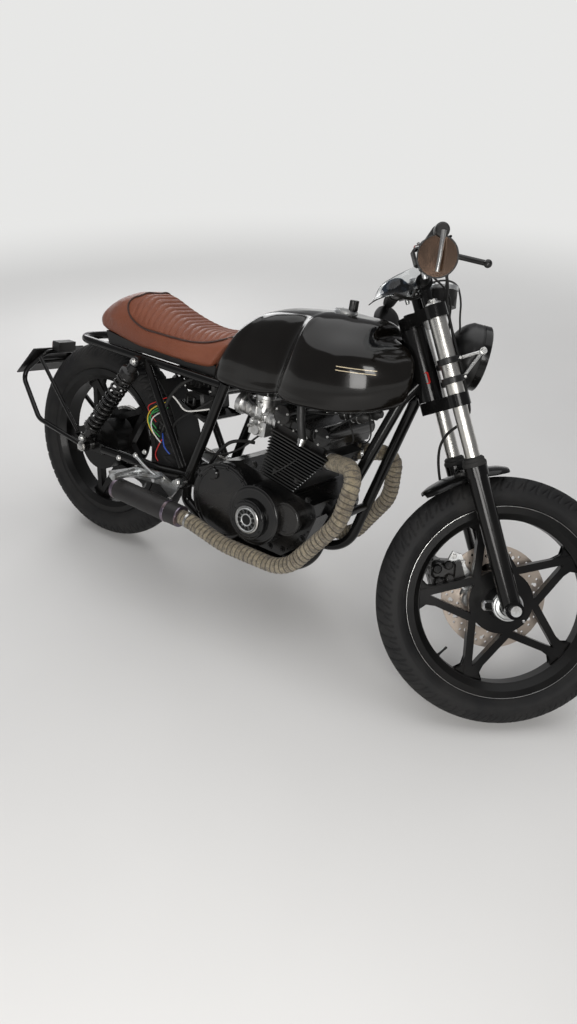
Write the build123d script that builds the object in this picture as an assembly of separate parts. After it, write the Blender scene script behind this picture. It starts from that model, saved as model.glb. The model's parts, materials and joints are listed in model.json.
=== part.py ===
from build123d import *
import os
from math import atan2, cos, degrees, radians, sin, sqrt

os.makedirs("parts", exist_ok=True)

# Driving dimensions in mm. The machine is drawn upright with its steering straight ahead:
# X forward, Y to its left, Z up, with the ground point under the rear axle as origin.
WHEELBASE = 1385.0
REAR_RADIUS = 324.5
FRONT_RADIUS = 312.3
REAR_TYRE_WIDTH = 116.0
FRONT_TYRE_WIDTH = 96.0
RAKE = 29.7
AXLE_LEAD = 39.9        # front axle ahead of the steering axis
LEG_HALF = 98.0         # half the distance between the fork legs
STEER_LOCK = 37.3       # steering stop, to each side
LEAN = 14.2             # parked on its side stand
SEAT_FIT = 0.3          # gap where a piece seats on another
RUNNING_FIT = 0.05      # radial gap of a turning fit

# Wheels
BEAD_RADIUS = 229.0
RIM_FLANGE = 12.0
RIM_DEPTH = 23.0
FRONT_RIM_HALF = 33.0
REAR_RIM_HALF = 43.0
STAR_POINTS = 5
STAR_INNER = 83.0       # radius where two spokes meet at the hub
STAR_TURN = -171.0
SPOKE_WIDTH = 19.0
SPOKE_DEPTH = 24.0
HUB_RADIUS = 40.0
FRONT_HUB_HALF = 58.0
REAR_HUB_HALF = 74.0
DRUM_RADIUS = 88.0
FRONT_AXLE_RADIUS = 7.5
REAR_AXLE_RADIUS = 8.5
DISC_RADIUS = 134.5
DISC_THICK = 6.0
DISC_OFFSET = 62.0      # disc's middle plane, left of the wheel's
DISC_HOLES = 15

# Fork and steering
STEM_RADIUS = 14.0
HEAD_TUBE_RADIUS = 31.0
LOWER_YOKE_U = 512.0    # along the steering axis, from the front axle
YOKE_SPAN = 210.0
UPPER_YOKE_U = LOWER_YOKE_U + YOKE_SPAN
YOKE_THICK = 30.0
STANCHION_RADIUS = 17.5
COVER_RADIUS = 20.5     # bright tubes between the yokes
SLIDER_RADIUS = 24.0
LUG_HALF = 27.0         # axle lug at the foot of a slider
COLLAR_RADIUS = 28.0    # dust collar at its top
SLIDER_TOP_U = FRONT_RADIUS + 39.7
BAR_RADIUS = 11.0
BAR_HALF = 345.0
BAR_U = UPPER_YOKE_U + 78
BAR_END_U = BAR_U + 38
GRIP_RADIUS = 16.5
GRIP_LENGTH = 122.0
HEADLIGHT_RADIUS = 79.0
LAMP_RIM = 40.0         # from the lamp's widest ring to its front edge
LAMP_BACK = 44.0
MIRROR_RADIUS = 42.0
HOSE_RADIUS = 3.5

# Frame tubes
DOWNTUBE_RADIUS = 15.0
RAIL_RADIUS = 12.5
BACKBONE_RADIUS = 24.0
CRADLE_HALF = 104.0
CRADLE_Z = 222.0
RAIL_HALF = 100.0
RAIL_Z = REAR_RADIUS + 329.5
SWING_HALF = 96.0
SHOCK_FOOT = (12.0, REAR_RADIUS + 33.5)
SHOCK_TOP = (214.0, RAIL_Z - 2)
SHOCK_HALF = 134.0
SPRING_TURNS = 10
SPRING_PITCH = 20.0
PIVOT_X = 424.0
PIVOT_Z = 338.0
PIVOT_BOLT = 8.0

# Engine sizes
CASE_HALF = 112.0
COVER_DEPTH = 36.0
BULGE_DEPTH = 52.0
BOSS_DEPTH = 64.0
CYLINDER_TILT = 10.0    # forward lean of the barrels
CYLINDER_HALF = 124.0
BARREL_HEIGHT = 94.0
HEAD_HEIGHT = 60.0
CORE_HALF = 106.0
FIN_REAR = -80.0
FIN_FRONT = 35.0        # foremost fin edge at the foot of the barrel
FIN_FLARE = 0.53        # and how much further forward it is per mm of height
FIN_THICK = 3.2
FIN_PITCH = 9.0
STUB_RADIUS = 19.0
PORT_HALF = 72.0
BADGE_RADIUS = 35.0
CAM_REACH = 66.0

TUNNEL_TOP = 800.0
TUNNEL_HALF = BACKBONE_RADIUS + 8

# Exhaust sizes
WRAP_RADIUS = 22.5
MUFFLER_RADIUS = 32.0

# Side stand, in the leaned frame: where its foot meets the floor
FOOT_X = 560.0
FOOT_Y = 285.0
FOOT_RADIUS = 24.0
FOOT_THICK = 8.0
STAND_RADIUS = 11.0
STAND_PIVOT = (512.0, 142.0, 180.0)
STAND_FOLD = 98.0
STAND_PIN = 6.0
STAND_HALF = 12.0


def tube(points, radius, bend=40):
    """Round bar along straight runs joined by tangent arcs."""
    path = FilletPolyline(*points, radius=bend) if len(points) > 2 else Line(*points)
    return sweep(Plane(origin=path @ 0, z_dir=path % 0) * Circle(radius), path=path)


def rod(start, end, radius):
    """Straight round bar between two points."""
    run = Vector(end) - Vector(start)
    return Solid.make_cylinder(radius, run.length, Plane(origin=start, z_dir=run))


def both(shape):
    """The shape and its mirror image across the machine's middle plane."""
    return shape + mirror(shape, about=Plane.XZ)


def left_of(shape):
    """Mirror image of a right-hand piece."""
    return mirror(shape, about=Plane.XZ)


def turned(outline):
    """Solid of revolution about Y from (radius, sideways) points."""
    return revolve(make_face(Polyline(*outline, close=True)), Axis.Y)


def plate(outline, y_from, y_to):
    """Flat plate from an (x, z) outline, between two sideways planes."""
    face = make_face(Polyline(*[(x, 0, z) for x, z in outline], close=True))
    return Pos(0, y_from, 0) * extrude(face, y_to - y_from, dir=(0, 1, 0))


def node(name, place, shape):
    """Write one piece in its final place."""
    pieces[name] = place * shape


pieces = {}

# Placements
FORK = Pos(WHEELBASE, 0, FRONT_RADIUS) * Rot(Y=-RAKE)
STEERED = FORK * Pos(-AXLE_LEAD, 0, 0) * Rot(Z=STEER_LOCK) * Pos(AXLE_LEAD, 0, 0)


def floor_height(place, radius, width):
    """Lowest point of a tyre with a round crown, for a wheel placed there."""
    crown = width / 2
    tilt = Plane(place).y_dir.Z
    return place.position.Z - (radius - crown) * sqrt(1 - tilt ** 2) - crown


def parked(pitch):
    """The machine leaned to its left and pitched nose down."""
    return Rot(X=-LEAN) * Rot(Y=pitch)


pitch = 0.0
for _ in range(8):
    turn = parked(pitch)
    nose = floor_height(turn * STEERED, FRONT_RADIUS, FRONT_TYRE_WIDTH)
    tail = floor_height(turn * Pos(0, 0, REAR_RADIUS), REAR_RADIUS, REAR_TYRE_WIDTH)
    pitch += degrees(atan2(nose - tail, WHEELBASE))
BIKE = Pos(0, 0, -tail) * parked(pitch)
STEERING = BIKE * STEERED
REAR_WHEEL = BIKE * Pos(0, 0, REAR_RADIUS)


# Wheels, drawn about their own axle
def tyre(radius, width, rim_half):
    """Road tyre with a round crown, open at its bead."""
    crown = width / 2
    seat = BEAD_RADIUS + SEAT_FIT
    lip = BEAD_RADIUS + RIM_FLANGE
    bead = rim_half - 5
    edge = Polyline((radius - crown, crown), (lip + 2, bead + 5), (lip, bead - 2), (seat, bead - 2),
                    (seat, 2 - bead), (lip, 2 - bead), (lip + 2, -bead - 5), (radius - crown, -crown))
    arc = ThreePointArc((radius - crown, -crown), (radius, 0), (radius - crown, crown))
    return revolve(make_face([edge, arc]), Axis.Y)


def star(rim_half, hub_half, turn):
    """Cast wheel: a rim, ten spokes that meet in pairs at rim and hub, and a hub."""
    low = BEAD_RADIUS - RIM_DEPTH
    flange = BEAD_RADIUS + RIM_FLANGE
    rim = turned([(flange, rim_half), (flange, rim_half - 4), (BEAD_RADIUS, rim_half - 6),
                  (BEAD_RADIUS, rim_half - 20), (low + 8, rim_half - 24), (low + 8, 24 - rim_half),
                  (BEAD_RADIUS, 20 - rim_half), (BEAD_RADIUS, 6 - rim_half), (flange, 4 - rim_half),
                  (flange, -rim_half), (BEAD_RADIUS - 6, -rim_half), (low, 16 - rim_half),
                  (low, rim_half - 16), (BEAD_RADIUS - 6, rim_half)])
    web = Circle(STAR_INNER - 2)
    step = 360 / STAR_POINTS
    for k in range(STAR_POINTS):
        tip = radians(turn + k * step)
        tip_point = Vector(low + 3, 0).rotate(Axis.Z, degrees(tip))
        for side in (-0.5, 0.5):
            root = Vector(STAR_INNER, 0).rotate(Axis.Z, degrees(tip) + side * step)
            spoke = SlotCenterToCenter((tip_point - root).length, SPOKE_WIDTH)
            middle = (tip_point + root) * 0.5
            angle = degrees(atan2((tip_point - root).Y, (tip_point - root).X))
            web += Pos(middle.X, middle.Y) * Rot(Z=angle) * spoke
    web = Plane.XZ * web
    spokes = extrude(web, SPOKE_DEPTH / 2, both=True)
    hub = rod((0, -hub_half, 0), (0, hub_half, 0), HUB_RADIUS)
    return rim + spokes + hub


def axle_bore(shape, radius, half):
    return shape - rod((0, -half - 1, 0), (0, half + 1, 0), radius + RUNNING_FIT)


node("front_tyre", STEERING, tyre(FRONT_RADIUS, FRONT_TYRE_WIDTH, FRONT_RIM_HALF))
front_rim = star(FRONT_RIM_HALF, FRONT_HUB_HALF, STAR_TURN - RAKE)
front_rim += rod((0, DISC_OFFSET - DISC_THICK / 2 - 14, 0), (0, DISC_OFFSET - DISC_THICK / 2, 0), 66)
node("front_rim", STEERING, axle_bore(front_rim, FRONT_AXLE_RADIUS, FRONT_HUB_HALF + 10))

disc = turned([(DISC_RADIUS, -DISC_THICK / 2), (DISC_RADIUS, DISC_THICK / 2),
               (56, DISC_THICK / 2), (56, -DISC_THICK / 2)])
for k in range(DISC_HOLES):
    disc -= Rot(Y=k * 360 / DISC_HOLES) * rod((112, -9, 0), (112, 9, 0), 5)
node("brake_disc", STEERING * Pos(0, DISC_OFFSET, 0), disc)

node("rear_tyre", REAR_WHEEL, tyre(REAR_RADIUS, REAR_TYRE_WIDTH, REAR_RIM_HALF))
rear_rim = star(REAR_RIM_HALF, REAR_HUB_HALF, STAR_TURN)
rear_rim += rod((0, -62, 0), (0, 18, 0), DRUM_RADIUS)
sprocket = rod((0, 66, 0), (0, 73, 0), 100)
rear_rim += sprocket
node("rear_rim", REAR_WHEEL, axle_bore(rear_rim, REAR_AXLE_RADIUS, REAR_HUB_HALF + 10))

# Fork, drawn along the steering axis with the front axle as origin:
# X ahead of the legs, Y left, Z up along the legs
lower = Pos(0, 0, LOWER_YOKE_U)
stem_length = UPPER_YOKE_U - LOWER_YOKE_U + 20


def yoke(u):
    """Clamp that joins both legs to the stem."""
    outline = make_hull((Pos(-AXLE_LEAD, 0) * Circle(30)).edges()
                        + (Pos(0, LEG_HALF) * Circle(STANCHION_RADIUS + 10)).edges()
                        + (Pos(0, -LEG_HALF) * Circle(STANCHION_RADIUS + 10)).edges())
    return Pos(0, 0, u - YOKE_THICK / 2) * extrude(outline, YOKE_THICK)


def leg_bores(shape):
    for side in (-1, 1):
        shape -= rod((0, side * LEG_HALF, 0), (0, side * LEG_HALF, 900), STANCHION_RADIUS + RUNNING_FIT)
    return shape


lower_yoke = leg_bores(yoke(LOWER_YOKE_U))
lower_yoke += rod((-AXLE_LEAD, 0, LOWER_YOKE_U), (-AXLE_LEAD, 0, UPPER_YOKE_U + 22), STEM_RADIUS)
node("lower_yoke", STEERING, lower_yoke)
upper_yoke = leg_bores(yoke(UPPER_YOKE_U))
upper_yoke -= rod((-AXLE_LEAD, 0, 600), (-AXLE_LEAD, 0, 800), STEM_RADIUS + RUNNING_FIT)
for side in (-1, 1):
    riser = rod((0, side * 52, UPPER_YOKE_U + YOKE_THICK / 2), (0, side * 52, BAR_U), 14)
    riser += rod((0, side * 52 - 15, BAR_U), (0, side * 52 + 15, BAR_U), 20)
    riser -= rod((0, side * 52 - 20, BAR_U), (0, side * 52 + 20, BAR_U), BAR_RADIUS + RUNNING_FIT)
    upper_yoke += riser
node("upper_yoke", STEERING, upper_yoke)

tubes = []
sliders = []
for side in (-1, 1):
    y = side * LEG_HALF
    leg = rod((0, y, 150), (0, y, UPPER_YOKE_U + YOKE_THICK / 2 + 6), STANCHION_RADIUS)
    cover_low = LOWER_YOKE_U + YOKE_THICK / 2 + SEAT_FIT
    cover_high = UPPER_YOKE_U - YOKE_THICK / 2 - SEAT_FIT
    leg += rod((0, y, cover_low), (0, y, cover_high), COVER_RADIUS)
    tubes.append(leg)
    slider = rod((0, y, 0), (0, y, SLIDER_TOP_U), SLIDER_RADIUS)
    slider += rod((0, y, SLIDER_TOP_U - 24), (0, y, SLIDER_TOP_U), COLLAR_RADIUS)
    slider += rod((0, y - LUG_HALF, 0), (0, y + LUG_HALF, 0), 22)
    slider -= rod((0, y, 149), (0, y, SLIDER_TOP_U + 1), STANCHION_RADIUS + RUNNING_FIT)
    slider -= rod((0, y - 40, 0), (0, y + 40, 0), FRONT_AXLE_RADIUS + RUNNING_FIT)
    sliders.append(slider)
node("fork_tubes", STEERING, Compound(children=tubes))
node("fork_sliders", STEERING, Compound(children=sliders))
axle = rod((0, -LEG_HALF - 34, 0), (0, LEG_HALF + 34, 0), FRONT_AXLE_RADIUS)
for side in (-1, 1):
    lug_out = LEG_HALF + LUG_HALF + SEAT_FIT
    axle += rod((0, side * lug_out, 0), (0, side * (lug_out + 9), 0), 13)
    axle += rod((0, side * (FRONT_HUB_HALF + 1.5), 0), (0, side * (LEG_HALF - LUG_HALF - SEAT_FIT), 0), 12)
node("front_axle", STEERING, axle)

# Mudguard: a short blade over the tyre, on a bridge between the sliders
guard_in = FRONT_RADIUS + 22
guard_half = 54.0
guard = turned([(guard_in + 3, -20), (guard_in - 12, -guard_half), (guard_in - 26, -guard_half - 2),
                (guard_in - 26, -guard_half - 5), (guard_in - 10, -guard_half - 3), (guard_in + 6, -20),
                (guard_in + 6, 20), (guard_in - 10, guard_half + 3), (guard_in - 26, guard_half + 5),
                (guard_in - 26, guard_half + 2), (guard_in - 12, guard_half), (guard_in + 3, 20)])
sector = Polyline((0, 0, 0), (700 * sin(radians(-21)), 0, 700 * cos(radians(-21))), (0, 0, 900),
                  (700 * sin(radians(17)), 0, 700 * cos(radians(17))), close=True)
guard &= extrude(make_face(sector), 90, both=True, dir=(0, 1, 0))
bridge = Pos(4, 0, SLIDER_TOP_U - 16) * Box(16, 2 * (LEG_HALF - COLLAR_RADIUS - SEAT_FIT), 12)
node("front_mudguard", STEERING, guard + bridge)

# Headlamp, level when the wheels point ahead
lamp_place = Pos(68, 0, 614) * Rot(Y=RAKE)
rim = HEADLIGHT_RADIUS
shell = revolve(make_face([Polyline((0, 0, rim), (LAMP_RIM - 22, 0, rim), (LAMP_RIM, 0, rim - 3), (LAMP_RIM, 0, 0),
                                    (-LAMP_BACK, 0, 0)),
                           ThreePointArc((-LAMP_BACK, 0, 0), (-0.72 * LAMP_BACK, 0, 0.7 * rim), (0, 0, rim))]), Axis.X)
shell -= Pos(LAMP_RIM - 8, 0, 0) * Rot(Y=90) * Cylinder(rim - 8, 18)
node("headlight_shell", STEERING * lamp_place, shell)
curve = 185.0
lens = Pos(LAMP_RIM + 11 - curve, 0, 0) * Sphere(curve) & Pos(LAMP_RIM, 0, 0) * Rot(Y=90) * Cylinder(rim - 8.4, 33)
node("headlight_lens", STEERING * lamp_place, lens)

bracket_parts = []
for side in (-1, 1):
    y = side * LEG_HALF
    arm = None
    for u in (560, 605):
        band = rod((0, y, u - 7), (0, y, u + 7), COVER_RADIUS + 4)
        band -= rod((0, y, u - 8), (0, y, u + 8), COVER_RADIUS + RUNNING_FIT)
        arm = band if arm is None else arm + band
    arm += rod((COVER_RADIUS + 3.4, y, 560), (84, y, 606), 4)
    arm += rod((COVER_RADIUS + 3.4, y, 605), (84, y, 606), 4)
    arm += rod((84, y + side * 3, 606), (84, side * (HEADLIGHT_RADIUS + SEAT_FIT), 606), 6)
    bracket_parts.append(arm)
node("headlight_brackets", STEERING, Compound(children=bracket_parts))

# Handlebar and controls
bar_points = [(-13, -BAR_HALF, BAR_END_U), (-13, -170, BAR_END_U), (0, -90, BAR_U), (0, 90, BAR_U),
              (-13, 170, BAR_END_U), (-13, BAR_HALF, BAR_END_U)]
node("handlebar", STEERING, tube(bar_points, BAR_RADIUS, 55))
grips = []
for side in (-1, 1):
    inner = side * (BAR_HALF - GRIP_LENGTH)
    grip = rod((-13, inner, BAR_END_U), (-13, side * (BAR_HALF - 1), BAR_END_U), GRIP_RADIUS)
    grip -= rod((-13, inner - side * 5, BAR_END_U), (-13, side * BAR_HALF, BAR_END_U),
                BAR_RADIUS + RUNNING_FIT)
    grips.append(grip)
node("grips", STEERING, Compound(children=grips))


def lever_set(side, with_reservoir):
    """Perch clamped on the bar, inside the grip, with its lever."""
    y = side * (BAR_HALF - GRIP_LENGTH - 16)
    perch = rod((-13, y - 12, BAR_END_U), (-13, y + 12, BAR_END_U), 18)
    perch += Pos(10, y, BAR_END_U - 12) * Box(40, 26, 26)
    if with_reservoir:
        perch += Pos(22, y - side * 6, BAR_END_U - 8) * Box(34, 58, 34)
    perch -= rod((-13, y - 45, BAR_END_U), (-13, y + 45, BAR_END_U), BAR_RADIUS + RUNNING_FIT)
    blade = tube([(26, y, BAR_END_U - 16), (60, y + side * 12, BAR_END_U - 38),
                  (94, y + side * 46, BAR_END_U - 68)], 6, 60)
    blade += Pos(94, y + side * 46, BAR_END_U - 68) * Sphere(9)
    return perch + blade


node("brake_control", STEERING, lever_set(-1, True))
node("clutch_control", STEERING, lever_set(1, False))

mirrors = []
for side in (-1, 1):
    end = rod((-13, side * (BAR_HALF + SEAT_FIT), BAR_END_U), (-13, side * (BAR_HALF + 14), BAR_END_U), 13)
    stalk = rod((-13, side * (BAR_HALF + 7), BAR_END_U), (-28, side * (BAR_HALF + 9), BAR_END_U - 42), 5)
    head = Pos(-30, side * (BAR_HALF + 9), BAR_END_U - 46) * Rot(Y=78) * Cylinder(MIRROR_RADIUS, 12)
    mirrors.append(end + stalk + head)
node("mirrors", STEERING, Compound(children=mirrors))

gauge = Pos(52, 0, UPPER_YOKE_U + 40) * Rot(Y=20) * Cylinder(32, 48)
gauge += Pos(20, 0, UPPER_YOKE_U + YOKE_THICK / 2 + 3.3) * Box(60, 16, 6)
node("gauge", STEERING, gauge)

strip = tube([(-30, -128, BAR_U), (-38, 0, BAR_U + 2), (-30, 128, BAR_U)], 5, 300)
for y in (-30, 30):
    strip += rod((-36, y, BAR_U + 2), (-BAR_RADIUS - SEAT_FIT, y, BAR_U), 4)
screen_edge = [(-38, -126), (-38, 126), (-112, 150), (-100, -140)]
screen = Pos(0, 0, BAR_U + 8) * Rot(Y=14) * extrude(
    make_face(Polyline(*[(x, y, 0) for x, y in screen_edge], close=True)), 3)
node("flyscreen", STEERING, strip + Pos(0, 0, -15) * screen)

caliper = Pos(-106, DISC_OFFSET, 89) * Box(86, 66, 62)
caliper -= Pos(-106, DISC_OFFSET, 89) * Box(200, DISC_THICK + 2, 200)
caliper += Pos(-128, DISC_OFFSET, 118) * Box(30, 60, 40)
caliper -= Pos(0, DISC_OFFSET, 0) * Rot(X=90) * Cylinder(DISC_RADIUS + 2, DISC_THICK + 2)
caliper += Pos(-52, LEG_HALF - 10, 96) * Box(92, 12, 44)
caliper -= rod((0, LEG_HALF, 0), (0, LEG_HALF, 400), SLIDER_RADIUS + SEAT_FIT)
node("brake_caliper", STEERING, caliper)

# Side stand: it hinges square to both its parked and its folded direction
stand_top = (BIKE * Pos(*STAND_PIVOT)).position
foot = Vector(FOOT_X, FOOT_Y, 0)
down = (foot - stand_top).normalized()
back = (Plane(BIKE).x_dir * -1 + Plane(BIKE).y_dir * 0.1).normalized()
hinge_axis = down.cross(back).normalized()
stand_axis = Vector(*[hinge_axis.dot(way) for way in (Plane(BIKE).x_dir, Plane(BIKE).y_dir, Plane(BIKE).z_dir)])

# Frame, drawn upright
UP_FOOT = Vector(430, 0, 345)
UP_TOP = Vector(524, 0, 661)
head_low = FORK * Pos(-AXLE_LEAD, 0, LOWER_YOKE_U + YOKE_THICK / 2 + 1)
head_high = FORK * Pos(-AXLE_LEAD, 0, UPPER_YOKE_U - YOKE_THICK / 2 - 1)
head_mid = (head_low.position + head_high.position) * 0.5
head_boss = (FORK * Pos(-AXLE_LEAD - 15, 0, LOWER_YOKE_U + 63)).position
frame = rod(head_low.position, head_high.position, HEAD_TUBE_RADIUS)
frame += rod(head_mid + Vector(-10, 0, 20), (516, 0, 634), BACKBONE_RADIUS)
frame += rod((516, -RAIL_HALF, 646), (516, RAIL_HALF, 646), 12)
for side in (-1, 1):
    h = side * CRADLE_HALF
    frame += tube([head_boss + Vector(0, side * 20, 0), (1030, side * 46, 740), (922, side * 95, 370),
                   (884, h, CRADLE_Z), (545, h, CRADLE_Z), (432, h, 282), UP_FOOT + Vector(0, h, 0),
                   UP_TOP + Vector(0, side * RAIL_HALF, 0)],
                  DOWNTUBE_RADIUS, [50, 60, 110, 80, 30, 60])
frame += rod((PIVOT_X, -CRADLE_HALF - 17, PIVOT_Z), (PIVOT_X, -74, PIVOT_Z), 22)
frame += rod((PIVOT_X, CRADLE_HALF + 17, PIVOT_Z), (PIVOT_X, 74, PIVOT_Z), 22)
frame += rod((560, -CRADLE_HALF, CRADLE_Z), (560, CRADLE_HALF, CRADLE_Z), 11)
frame += rod((929, -92, 394), (929, 92, 394), 11)
frame += rod((860, SEAT_FIT - TUNNEL_HALF, 776), (860, TUNNEL_HALF - SEAT_FIT, 776), 10)
stem_axis = (FORK * Pos(-AXLE_LEAD, 0, 400)).position
frame -= rod(stem_axis, (FORK * Pos(-AXLE_LEAD, 0, 850)).position, STEM_RADIUS + RUNNING_FIT)
frame -= rod((PIVOT_X, -150, PIVOT_Z), (PIVOT_X, 150, PIVOT_Z), PIVOT_BOLT + RUNNING_FIT)
pivot = Vector(*STAND_PIVOT)
frame += rod((522, CRADLE_HALF - 3, 228), pivot - stand_axis * 38, 9)
frame += rod(pivot - stand_axis * 44, pivot - stand_axis * (STAND_HALF + SEAT_FIT), 10)
frame += rod(pivot - stand_axis * 40, pivot + stand_axis * (STAND_HALF + 4), STAND_PIN)
node("main_frame", BIKE, frame)

LOOP_X = -106.0
sub = tube([(512, -RAIL_HALF, RAIL_Z), (LOOP_X, -84, RAIL_Z), (LOOP_X, 84, RAIL_Z), (512, RAIL_HALF, RAIL_Z)],
           RAIL_RADIUS, 66)
for side in (-1, 1):
    y = side * RAIL_HALF
    sub += rod((SHOCK_TOP[0], y, RAIL_Z), (402, y, 374), RAIL_RADIUS - 1)
    sub += rod((SHOCK_TOP[0], y - side * 6, SHOCK_TOP[1]), (SHOCK_TOP[0], side * 148, SHOCK_TOP[1]), 8)
    sub -= rod((516, 0, 646), (516, y, 646), 12 + SEAT_FIT)
    sub -= rod(UP_FOOT + Vector(0, side * CRADLE_HALF, 0), UP_TOP + Vector(0, y, 0), DOWNTUBE_RADIUS + SEAT_FIT)
sub += rod((330, -RAIL_HALF, RAIL_Z), (330, RAIL_HALF, RAIL_Z), 10)
node("rear_subframe", BIKE, sub)

arm = None
for side in (-1, 1):
    h = side * SWING_HALF
    leg = tube([(PIVOT_X - 20, side * 50, PIVOT_Z - 1), (300, side * 88, 334), (58, h, 326)], 15, 110)
    leg += plate([(-48, 306), (70, 310), (70, 342), (26, 346), (-48, 342)], h - 9, h + 9)
    leg += rod((SHOCK_FOOT[0], h, 332), (SHOCK_FOOT[0], h, SHOCK_FOOT[1]), 8.6)
    leg += rod((SHOCK_FOOT[0], h, SHOCK_FOOT[1]), (SHOCK_FOOT[0], side * 148, SHOCK_FOOT[1]), 8)
    arm = leg if arm is None else arm + leg
arm += rod((PIVOT_X, -73.5, PIVOT_Z), (PIVOT_X, 73.5, PIVOT_Z), 24)
arm += rod((364.8, -66, 336), (364.8, 66, 336), 14)
arm -= rod((PIVOT_X, -80, PIVOT_Z), (PIVOT_X, 80, PIVOT_Z), PIVOT_BOLT + RUNNING_FIT)
arm -= rod((0, -120, REAR_RADIUS), (0, 120, REAR_RADIUS), REAR_AXLE_RADIUS + RUNNING_FIT)
node("swingarm", BIKE, arm)
bolt = rod((PIVOT_X, -133, PIVOT_Z), (PIVOT_X, 133, PIVOT_Z), PIVOT_BOLT)
for side in (-1, 1):
    bolt += rod((PIVOT_X, side * (CRADLE_HALF + 17.3), PIVOT_Z), (PIVOT_X, side * 131, PIVOT_Z), 14)
node("pivot_bolt", BIKE, bolt)
axle = rod((0, -136, REAR_RADIUS), (0, 136, REAR_RADIUS), REAR_AXLE_RADIUS)
for side in (-1, 1):
    axle += rod((0, side * (SWING_HALF + 9.3), REAR_RADIUS), (0, side * (SWING_HALF + 20), REAR_RADIUS), 15)
    axle += rod((0, side * (REAR_HUB_HALF + 0.5), REAR_RADIUS), (0, side * (SWING_HALF - 9.3), REAR_RADIUS), 15)
node("rear_axle", BIKE, axle)

for name, side in (("shock_right", -1), ("shock_left", 1)):
    y = side * SHOCK_HALF
    top = Vector(SHOCK_TOP[0], y, SHOCK_TOP[1])
    eye_low = Vector(SHOCK_FOOT[0], y, SHOCK_FOOT[1])
    along = (top - eye_low).normalized()
    span = (top - eye_low).length
    edge = [(0, 12), (11, 12), (11, 50), (26, 50), (26, 58)]
    for ring in range(SPRING_TURNS):
        base = 62 + ring * SPRING_PITCH
        edge += [(19, base), (28, base + 4), (28, base + 10), (19, base + 14)]
    edge += [(26, span - 62), (26, span - 40), (14, span - 36), (14, span - 10), (0, span - 10)]
    profile = make_face(Polyline(*[(r, 0, z) for r, z in edge], close=True))
    body = Plane(origin=eye_low, x_dir=(0, 1, 0), z_dir=along) * revolve(profile, Axis.Z)
    for eye in (top, eye_low):
        body += rod(eye - Vector(0, 12, 0), eye + Vector(0, 12, 0), 15)
        body -= rod(eye - Vector(0, 20, 0), eye + Vector(0, 20, 0), 8 + RUNNING_FIT)
    node(name, BIKE, body)

# Engine
BARREL = Pos(770, 0, 440) * Rot(Y=CYLINDER_TILT)
case_outline = [(474, 300), (474, 400), (560, 448), (690, 490), (800, 490), (872, 430), (892, 392),
                (868, 304), (800, 244), (560, 244), (520, 272)]
case = plate(case_outline, -CASE_HALF, CASE_HALF)
case += plate([(590, 206), (812, 206), (826, 254), (580, 254)], -70, 70)
case += plate([(870, 380), (917.7, 384), (917.7, 404), (870, 420)], -50, 50)
for side in (-1, 1):
    case += plate([(440, 326), (480, 320), (480, 356), (440, 350)], side * 80 - 5.5, side * 80 + 5.5)
case -= rod((PIVOT_X, -150, PIVOT_Z), (PIVOT_X, 150, PIVOT_Z), 22 + SEAT_FIT)
case -= BARREL * Pos(0, 0, 150) * Box(500, 400, 300)
case -= Pos(500, 54 + 60, 330) * Box(116, 120, 200)
node("crankcase", BIKE, case)

seat_y = -CASE_HALF - SEAT_FIT
cover = rod((602, seat_y, 346), (602, -CASE_HALF - COVER_DEPTH, 346), 109)
cover += rod((724, seat_y, 350), (724, -CASE_HALF - BULGE_DEPTH, 350), 84)
cover += rod((715, seat_y, 338), (715, -CASE_HALF - BOSS_DEPTH, 338), 56)
cover += rod((818, seat_y, 370), (818, -CASE_HALF - COVER_DEPTH - 2, 370), 46)
node("clutch_cover", BIKE, cover)
badge_y = -CASE_HALF - BOSS_DEPTH - SEAT_FIT
node("cover_badge", BIKE, rod((715, badge_y, 338), (715, badge_y - 4, 338), BADGE_RADIUS))
gen = rod((800, CASE_HALF + SEAT_FIT, 366), (800, CASE_HALF + 46, 366), 68)
gen += plate([(500, 290), (560, 262), (640, 258), (740, 330), (740, 400), (700, 420), (560, 430), (500, 400)],
             CASE_HALF + SEAT_FIT, CASE_HALF + 12)
node("alternator_cover", BIKE, gen)

CARB = Pos(640, 0, 606)
CARB_AXIS = (Vector(-66, 0, 6), Vector(58, 0, -10))
intake_way = (CARB_AXIS[1] - CARB_AXIS[0]).normalized()
intake_start = (CARB * Pos(*CARB_AXIS[1])).position + intake_way * SEAT_FIT
stubs = {side: intake_start + Vector(0, side * 62, 0) for side in (-1, 1)}
STUB_LENGTH = 29.0

# Each row is one bend of a header: how far ahead, to its side and up it lies, and its radius
HEADER_BENDS = {
    -1: ((1003, 150, 570, 45), (994, 177, 430, 110), (868, 188, 250, 110), (660, 195, 247, 300),
         (528, 198.5, 273.8, 120)),
    1: ((975, 116, 560, 40), (978, 126, 430, 110), (868, 150, 255, 110), (660, 182, 247, 300),
        (528, 198.5, 273.8, 120)),
}
MUFFLER_FRONT = (498, 199, 274)
MUFFLER_END = (241, 203, 276)
ports = {side: (BARREL * Pos(-FIN_REAR, side * PORT_HALF, 116)).position for side in (-1, 1)}
outward = {side: (Vector(HEADER_BENDS[side][0][0], side * HEADER_BENDS[side][0][1], HEADER_BENDS[side][0][2])
                  - ports[side]).normalized() for side in (-1, 1)}


def clear_ports(shape):
    """Cut the castings back round the intake stubs and the headers."""
    for side in (-1, 1):
        end = stubs[side] + intake_way * (STUB_LENGTH + SEAT_FIT)
        shape -= BARREL.inverse() * rod(stubs[side] - intake_way * 20, end, STUB_RADIUS + 3)
        shape -= BARREL.inverse() * rod(ports[side], ports[side] + outward[side] * 90, WRAP_RADIUS + 3)
    return shape


def fin(height, half):
    """One cooling fin, which reaches further forward the higher it is."""
    front = FIN_FRONT + FIN_FLARE * height
    return Pos((front + FIN_REAR) / 2, 0, height) * Box(front - FIN_REAR, 2 * half, FIN_THICK)


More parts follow.
